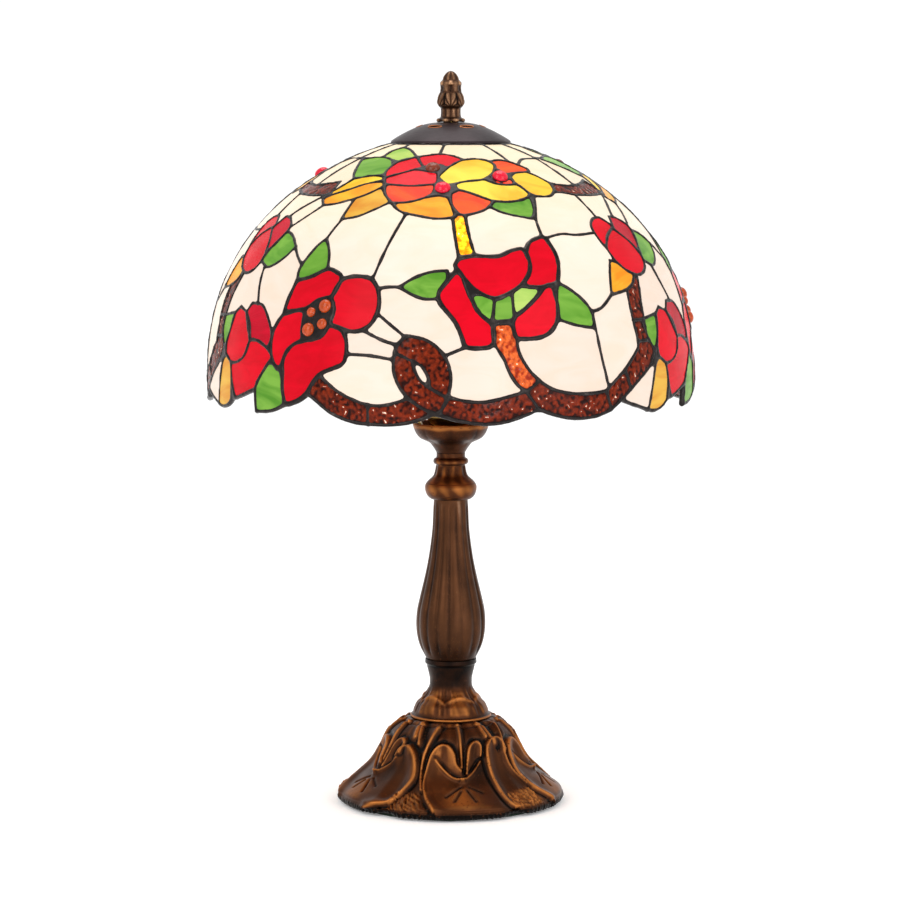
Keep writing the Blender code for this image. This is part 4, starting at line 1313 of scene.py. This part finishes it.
def foot_relief(azimuth, along, radius, height):
    """Leaves that lie on the flare, a groove above the seam, and a plain neck."""
    leaf_zone = band(height, 56.4, 59.0, 69.0, 75.0)
    petal = np.abs(np.sin(3 * azimuth + 0.6))
    push = leaf_zone * (1.0 * petal ** 0.5 - 0.5)
    push += leaf_zone * 0.35 * np.sin(18 * azimuth) * (1 - np.abs(2 * petal - 1))
    edge = 64.5 + 3.2 * np.abs(np.sin(3 * azimuth + 0.6))
    push += 0.7 * bell(height - edge, 1.1) * leaf_zone
    push -= 0.7 * bell(height - 56.4, 0.55)
    push -= 0.5 * bell(height - 87.4, 0.6)
    wear = grain(azimuth, height, 26, 0.35, 21)
    dark_neck = fade(height, 70.0, 76.0)
    shade = 0.46 + 0.34 * push + 0.22 * wear * leaf_zone - 0.30 * dark_neck
    shade += 0.45 * bell(height - 55.2, 0.7)
    return push, np.clip(shade, 0.0, 1.0)


SMOOTH_PANELS = 4
SMOOTH_PANEL_AT = 0.24    # radians round from the front to the middle of the first one


def column_relief(azimuth, along, radius, height):
    """Rounded ribs with narrow grooves, which almost fade out on a few smoother panels."""
    wave = 0.5 + 0.5 * np.cos(FLUTES * azimuth + 0.5 + 0.5 * np.sin(2 * azimuth + 1.0))
    groove = wave ** 3 * (0.7 + 0.3 * np.sin(5 * azimuth + 0.8))
    groove *= 1 - 0.8 * np.clip(np.cos(SMOOTH_PANELS * (azimuth - SMOOTH_PANEL_AT)), 0.0, 1.0)
    ends = band(height, 92.5, 100.0, 187.0, 192.0)
    depth = 0.22 + 0.70 * np.clip((radius - 10.0) / 10.0, 0.0, 1.0)
    push = -groove * depth * ends
    push += 0.35 * ends * (np.abs(np.sin(0.5 * (FLUTES * azimuth + 0.5))) - 0.5)
    wear = grain(azimuth, height, 9, 0.06, 31)
    shade = 0.40 - 0.24 * groove * ends + 0.16 * wear
    shade -= 0.16 * (1 - fade(height, 92.0, 112.0))
    shade += 0.06 * fade(height, 165.0, 190.0)
    return push, np.clip(shade, 0.0, 1.0)


def knob_relief(azimuth, along, radius, height):
    """A plain worn ball with faint flutes on the neck above it."""
    neck = band(height, 206.0, 209.0, 213.6, 215.0)
    flutes = np.sin(11 * azimuth)
    push = 0.28 * neck * flutes
    wear = grain(azimuth, height, 8, 0.35, 41)
    crest = bell(height - 200.5, 4.5)
    shade = 0.42 + 0.18 * neck * flutes + 0.22 * wear + 0.24 * crest
    shade += 0.12 * bell(height - 216.8, 1.2)
    return push, np.clip(shade, 0.0, 1.0)


def husk_relief(azimuth, along, radius, height):
    """Eight broad petals pressed into the cup, and painted light from the bulb on its rim."""
    petals = np.abs(np.sin(4 * azimuth))
    cup = band(height, 226.5, 230.5, 238.4, 240.2)
    push = -0.3 * cup * (1 - petals) ** 2
    # painted light: the rim of the cup is painted lighter, where the bulb lights it from above
    shade = 0.34 + 0.36 * fade(height, 236.5, 239.0) + 0.3 * push
    shade += 0.10 * grain(azimuth, height, 10, 0.4, 51)
    return push, np.clip(shade, 0.0, 1.0)


def build_column(surface, column_bronze):
    parts = (("leaf_foot", FOOT_OUTSIDE, "foot_neck", foot_relief, surface, 240),
             ("ribbed_column", COLUMN_OUTSIDE, "column_body", column_relief, column_bronze, 432),
             ("turned_knob", KNOB_OUTSIDE, "column_knob", knob_relief, surface, 160))
    for name, outside, node, relief, metal, segments in parts:
        inside = [(ROD_BORE, outside[-1][1]), (ROD_BORE, outside[0][1])]
        place_bronze(cast(name, outside, inside, metal, segments, relief, 0.6), node, "stand")
    made = cast("petal_cup", HUSK_OUTSIDE, HUSK_INSIDE, surface, 200, husk_relief, 0.5)
    place_bronze(made, "husk_cup", "stand")


# ======================= cap and finial =======================
CAP_OUTSIDE = [(36.1, 416.5), (37.4, 416.7), (37.2, 417.6), (34.6, 419.4), (31.0, 421.5), (25.0, 424.6),
               (18.0, 427.4), (11.5, 428.8), (6.0, 429.15)]
CAP_INSIDE = [(3.4, 429.15), (3.4, 427.9), (11.0, 427.6), (17.0, 426.2), (24.4, 423.3), (31.2, 419.9)]
VENTS = 6
VENT_RADIUS = 19.5
VENT_HEIGHT = 426.2
VENT_TILT = math.radians(20)
VENT_HALF = (4.6, 1.9)    # half sizes of an oval vent
VENT_CUT = 8
RIM_HALF = (4.7, 2.0)     # and of the ring round it
RIM_THICKNESS = 0.42
RIM_LIFT = 0.55
FINIAL_INSIDE = [(0.05, 436.0), (3.2, 436.0), (3.2, 429.5)]
FINIAL_OUTSIDE = [(8.4, 429.5), (8.9, 430.2), (8.6, 431.2), (7.0, 431.9), (6.1, 433.0), (5.9, 435.5),
                  (6.1, 437.6), (7.4, 439.0), (8.3, 440.8), (8.5, 443.0), (7.9, 445.3), (6.9, 447.3),
                  (6.3, 449.2), (6.2, 451.0), (6.5, 453.2), (5.9, 454.6), (5.1, 455.6), (4.6, 457.2),
                  (3.2, 459.2), (1.4, 460.6), (0.05, 461.0)]


def finial_relief(azimuth, along, radius, height):
    """Beaded foot, fluted stem, a ball of fans, and a bud with petals."""
    def zone(low, high, soft=0.7):
        return band(height, low - soft, low + soft, high - soft, high + soft)

    push = zone(428.0, 431.4) * 0.9 * (np.abs(np.sin(4 * azimuth)) - 0.5)
    push += zone(432.6, 437.6) * 0.55 * (np.abs(np.sin(5 * azimuth)) ** 0.6 - 0.6)
    sector = 2 * math.pi / 6
    local = (azimuth + 0.5 * sector) % sector - 0.5 * sector
    angle = np.arctan2(local * 8.5, height - 438.0)
    fan = zone(439.4, 447.4)
    push += fan * (0.55 * (np.abs(np.sin(6.0 * angle)) ** 0.7 - 0.5)
                   - 0.7 * np.exp(-((np.abs(local) / sector - 0.5) / 0.07) ** 2))
    push += zone(448.4, 454.4) * 0.6 * (np.abs(np.sin(3 * azimuth)) - 0.6)
    bead_spot = np.exp(-((local * 6.4) ** 2 + (height - 453.4) ** 2) / 1.4)
    push += 1.0 * bead_spot
    push += zone(455.4, 460.4) * 0.4 * (np.abs(np.sin(4 * azimuth)) - 0.5)
    shade = 0.46 + 0.85 * push + 0.2 * bead_spot
    return push, np.clip(shade, 0.0, 1.0)


def vent_cutter(cap, place):
    """An oval plug that cuts one vent out of the cap."""
    bm = bmesh.new()
    bmesh.ops.create_cone(bm, cap_ends=True, segments=28, radius1=1.0, radius2=1.0, depth=1.0)
    bm.transform(place @ Matrix.Diagonal((VENT_HALF[0] * MM, VENT_HALF[1] * MM, VENT_CUT * MM, 1.0)))
    mesh = bpy.data.meshes.new("vent_cutter")
    bm.to_mesh(mesh)
    bm.free()
    cutter = bpy.data.objects.new("vent_cutter", mesh)
    bpy.context.scene.collection.objects.link(cutter)
    change = cap.modifiers.new("vent", "BOOLEAN")
    change.operation = "DIFFERENCE"
    change.object = cutter
    return cutter


def vent_rim(store, place, around=40, across=8):
    """A thin oval ring round one vent."""
    first = len(store["verts"])
    for i in range(around):
        for j in range(across):
            a = 2 * math.pi * i / around
            b = 2 * math.pi * j / across
            x = (RIM_HALF[0] + RIM_THICKNESS * math.cos(b)) * math.cos(a)
            y = (RIM_HALF[1] + RIM_THICKNESS * math.cos(b)) * math.sin(a)
            z = RIM_LIFT + 0.36 * math.sin(b)
            store["verts"].append(place @ Vector((x * MM, y * MM, z * MM)))
    store["faces"] += [(a, d, c, b) for a, b, c, d in ring_faces(first, around, across, True)]


def build_cap():
    patina = plain_metal("cap_patina", rgb(46, 32, 35), 0.34, 0.5, 260.0, 0.65)
    cap = cast("vented_cap", CAP_OUTSIDE, CAP_INSIDE, patina, 144, None, 1.2)
    cutters = []
    copper = {"verts": [], "faces": []}
    for k in range(VENTS):
        turn = Matrix.Rotation(2 * math.pi * (k + 0.5) / VENTS, 4, "Z")
        tilt = Matrix.Rotation(VENT_TILT, 4, "X")
        place = turn @ Matrix.Translation((0, -VENT_RADIUS * MM, VENT_HEIGHT * MM)) @ tilt
        cutters.append(vent_cutter(cap, place))
        vent_rim(copper, place)
    apply_modifiers(cap)
    for cutter in cutters:
        bpy.data.objects.remove(cutter, do_unlink=True)
    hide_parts("shade_cap")
    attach(cap, "shade")
    rims = new_object("vent_rims", copper["verts"], copper["faces"],
                      plain_metal("worn_copper", rgb(176, 112, 74), 0.3, 0.45), None)
    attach(rims, "shade")


def build_finial():
    copper = bronze_surface("antique_copper", (18, 10, 6), (74, 48, 32), (176, 134, 100))
    made = cast("relief_finial", FINIAL_OUTSIDE, FINIAL_INSIDE, copper, 240, finial_relief, 0.3)
    place_bronze(made, "finial", "finial")


# ======================= CAD nodes that stay =======================
def dress_cad_nodes():
    """Give every CAD node that stays visible its own procedural material."""
    brass = plain_metal("socket_brass", rgb(206, 168, 96), 0.22, 0.42)
    steel = plain_metal("zinc_steel", rgb(176, 178, 180), 0.3, 0.5)
    iron = plain_metal("rough_iron", rgb(58, 56, 54), 0.55, 0.8, 180.0)
    felt = plain_soft("green_felt", rgb(34, 52, 40), 0.95, 1800.0, 0.0006)
    rubber = plain_soft("cord_rubber", rgb(30, 29, 28), 0.7, 900.0, 0.0002)
    plastic = plain_soft("moulded_plastic", rgb(26, 24, 23), 0.38, 700.0, 0.0001)
    dress = {"brass": brass, "steel": steel, "cast_iron": iron, "felt": felt, "rubber": rubber,
             "black_plastic": plastic, "bulb_glass": bulb_surface()}
    slots = {entry["node"]: entry["material_slot"] for entry in frame["record"]["subparts"]}
    for name, made in frame["nodes"].items():
        surface = dress.get(slots.get(name))
        if surface is None:
            continue
        made.data.materials.clear()
        made.data.materials.append(surface)


# ======================= studio =======================
CAMERA_PLACE = (0.00075, -2.1, 0.4505)
CAMERA_DOWN = 6.2         # degrees
CAMERA_LENS = 133.5


def camera():
    data = bpy.data.cameras.new("camera")
    data.lens = CAMERA_LENS
    data.sensor_width = 36.0
    data.clip_end = 50.0
    made = bpy.data.objects.new("camera", data)
    made.location = CAMERA_PLACE
    made.rotation_euler = (math.radians(90.0 - CAMERA_DOWN), 0.0, 0.0)
    bpy.context.scene.collection.objects.link(made)
    bpy.context.scene.camera = made


def floor():
    """A pale floor that sweeps up behind the lamp."""
    surface = Surface("pale_backdrop")
    speck = surface.noise(3.0, 2.0)
    surface.link(surface.ramp(speck, [(0.2, (0.93, 0.93, 0.93, 1)), (0.8, (0.96, 0.96, 0.96, 1))]),
                 surface.shader.inputs["Base Color"])
    surface.set(Roughness=0.9, Specular_IOR_Level=0.1, Emission_Color=(1, 1, 1, 1), Emission_Strength=0.16)
    verts, faces = [], []
    rows = 48
    for k in range(rows + 1):
        t = k / rows
        if t < 0.5:
            y, z = -4.0 + 6.4 * (t / 0.5), 0.0
        else:
            turn = (t - 0.5) / 0.5 * math.pi / 2
            y, z = 2.4 + 2.6 * math.sin(turn), 2.6 * (1 - math.cos(turn))
        verts += [(-6.0, y, z), (6.0, y, z)]
    for k in range(rows):
        a = 2 * k
        faces.append((a, a + 1, a + 3, a + 2))
    made = new_object("floor", verts, faces, surface.material, None)


def area_light(name, place, target, size, power, colour):
    data = bpy.data.lights.new(name, "AREA")
    data.shape = "RECTANGLE"
    data.size, data.size_y = size
    data.energy = power
    data.color = colour
    made = bpy.data.objects.new(name, data)
    made.location = place
    made.rotation_euler = (Vector(target) - Vector(place)).to_track_quat("-Z", "Y").to_euler()
    bpy.context.scene.collection.objects.link(made)


def studio():
    world = bpy.data.worlds.new("studio")
    world.use_nodes = True
    world.node_tree.nodes["Background"].inputs["Color"].default_value = (1.0, 1.0, 1.0, 1.0)
    world.node_tree.nodes["Background"].inputs["Strength"].default_value = 0.85
    bpy.context.scene.world = world
    area_light("key", (-1.1, -1.5, 1.3), (0, 0, 0.25), (1.1, 1.8), 16.0, (1.0, 0.98, 0.96))
    area_light("fill", (1.3, -1.3, 0.8), (0, 0, 0.2), (1.0, 1.8), 10.0, (0.96, 0.97, 1.0))
    area_light("strip", (0.62, -1.9, 0.2), (0, 0, 0.1), (0.10, 0.9), 6.0, (1.0, 0.96, 0.98))
    area_light("top", (0.0, 0.4, 2.2), (0, 0, 0.2), (1.4, 1.4), 18.0, (1.0, 1.0, 1.0))
    bpy.context.scene.view_settings.view_transform = "Standard"


# ======================= build =======================
def main():
    camera()
    floor()
    studio()
    hem, crown, outlines, lines = drawn_pattern()
    panes, verts, filled = build_glass(hem, crown, outlines, lines)
    build_solder(hem, crown, outlines, lines, verts, filled)
    build_jewels()
    grounds = [name for name in frame["nodes"] if "_ground_" in name]
    flowers = [name for name in frame["nodes"] if name.split("_")[0] in ("rose", "star", "heart", "bud")]
    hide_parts(*grounds)
    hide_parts(*flowers)
    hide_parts(*[name for name in frame["nodes"] if name.startswith("leaf_")])
    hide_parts(*[name for name in frame["nodes"] if name.startswith("crown_flower")])
    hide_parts(*[name for name in frame["nodes"] if name.startswith("ribbon_")])
    bronze = bronze_surface("antique_bronze", (12, 7, 5), (76, 41, 19), (166, 102, 48))
    column_bronze = bronze_surface("column_bronze", (18, 8, 4), (82, 50, 29), (172, 138, 112))
    build_base(bronze)
    build_column(bronze, column_bronze)
    build_cap()
    build_finial()
    dress_cad_nodes()


main()
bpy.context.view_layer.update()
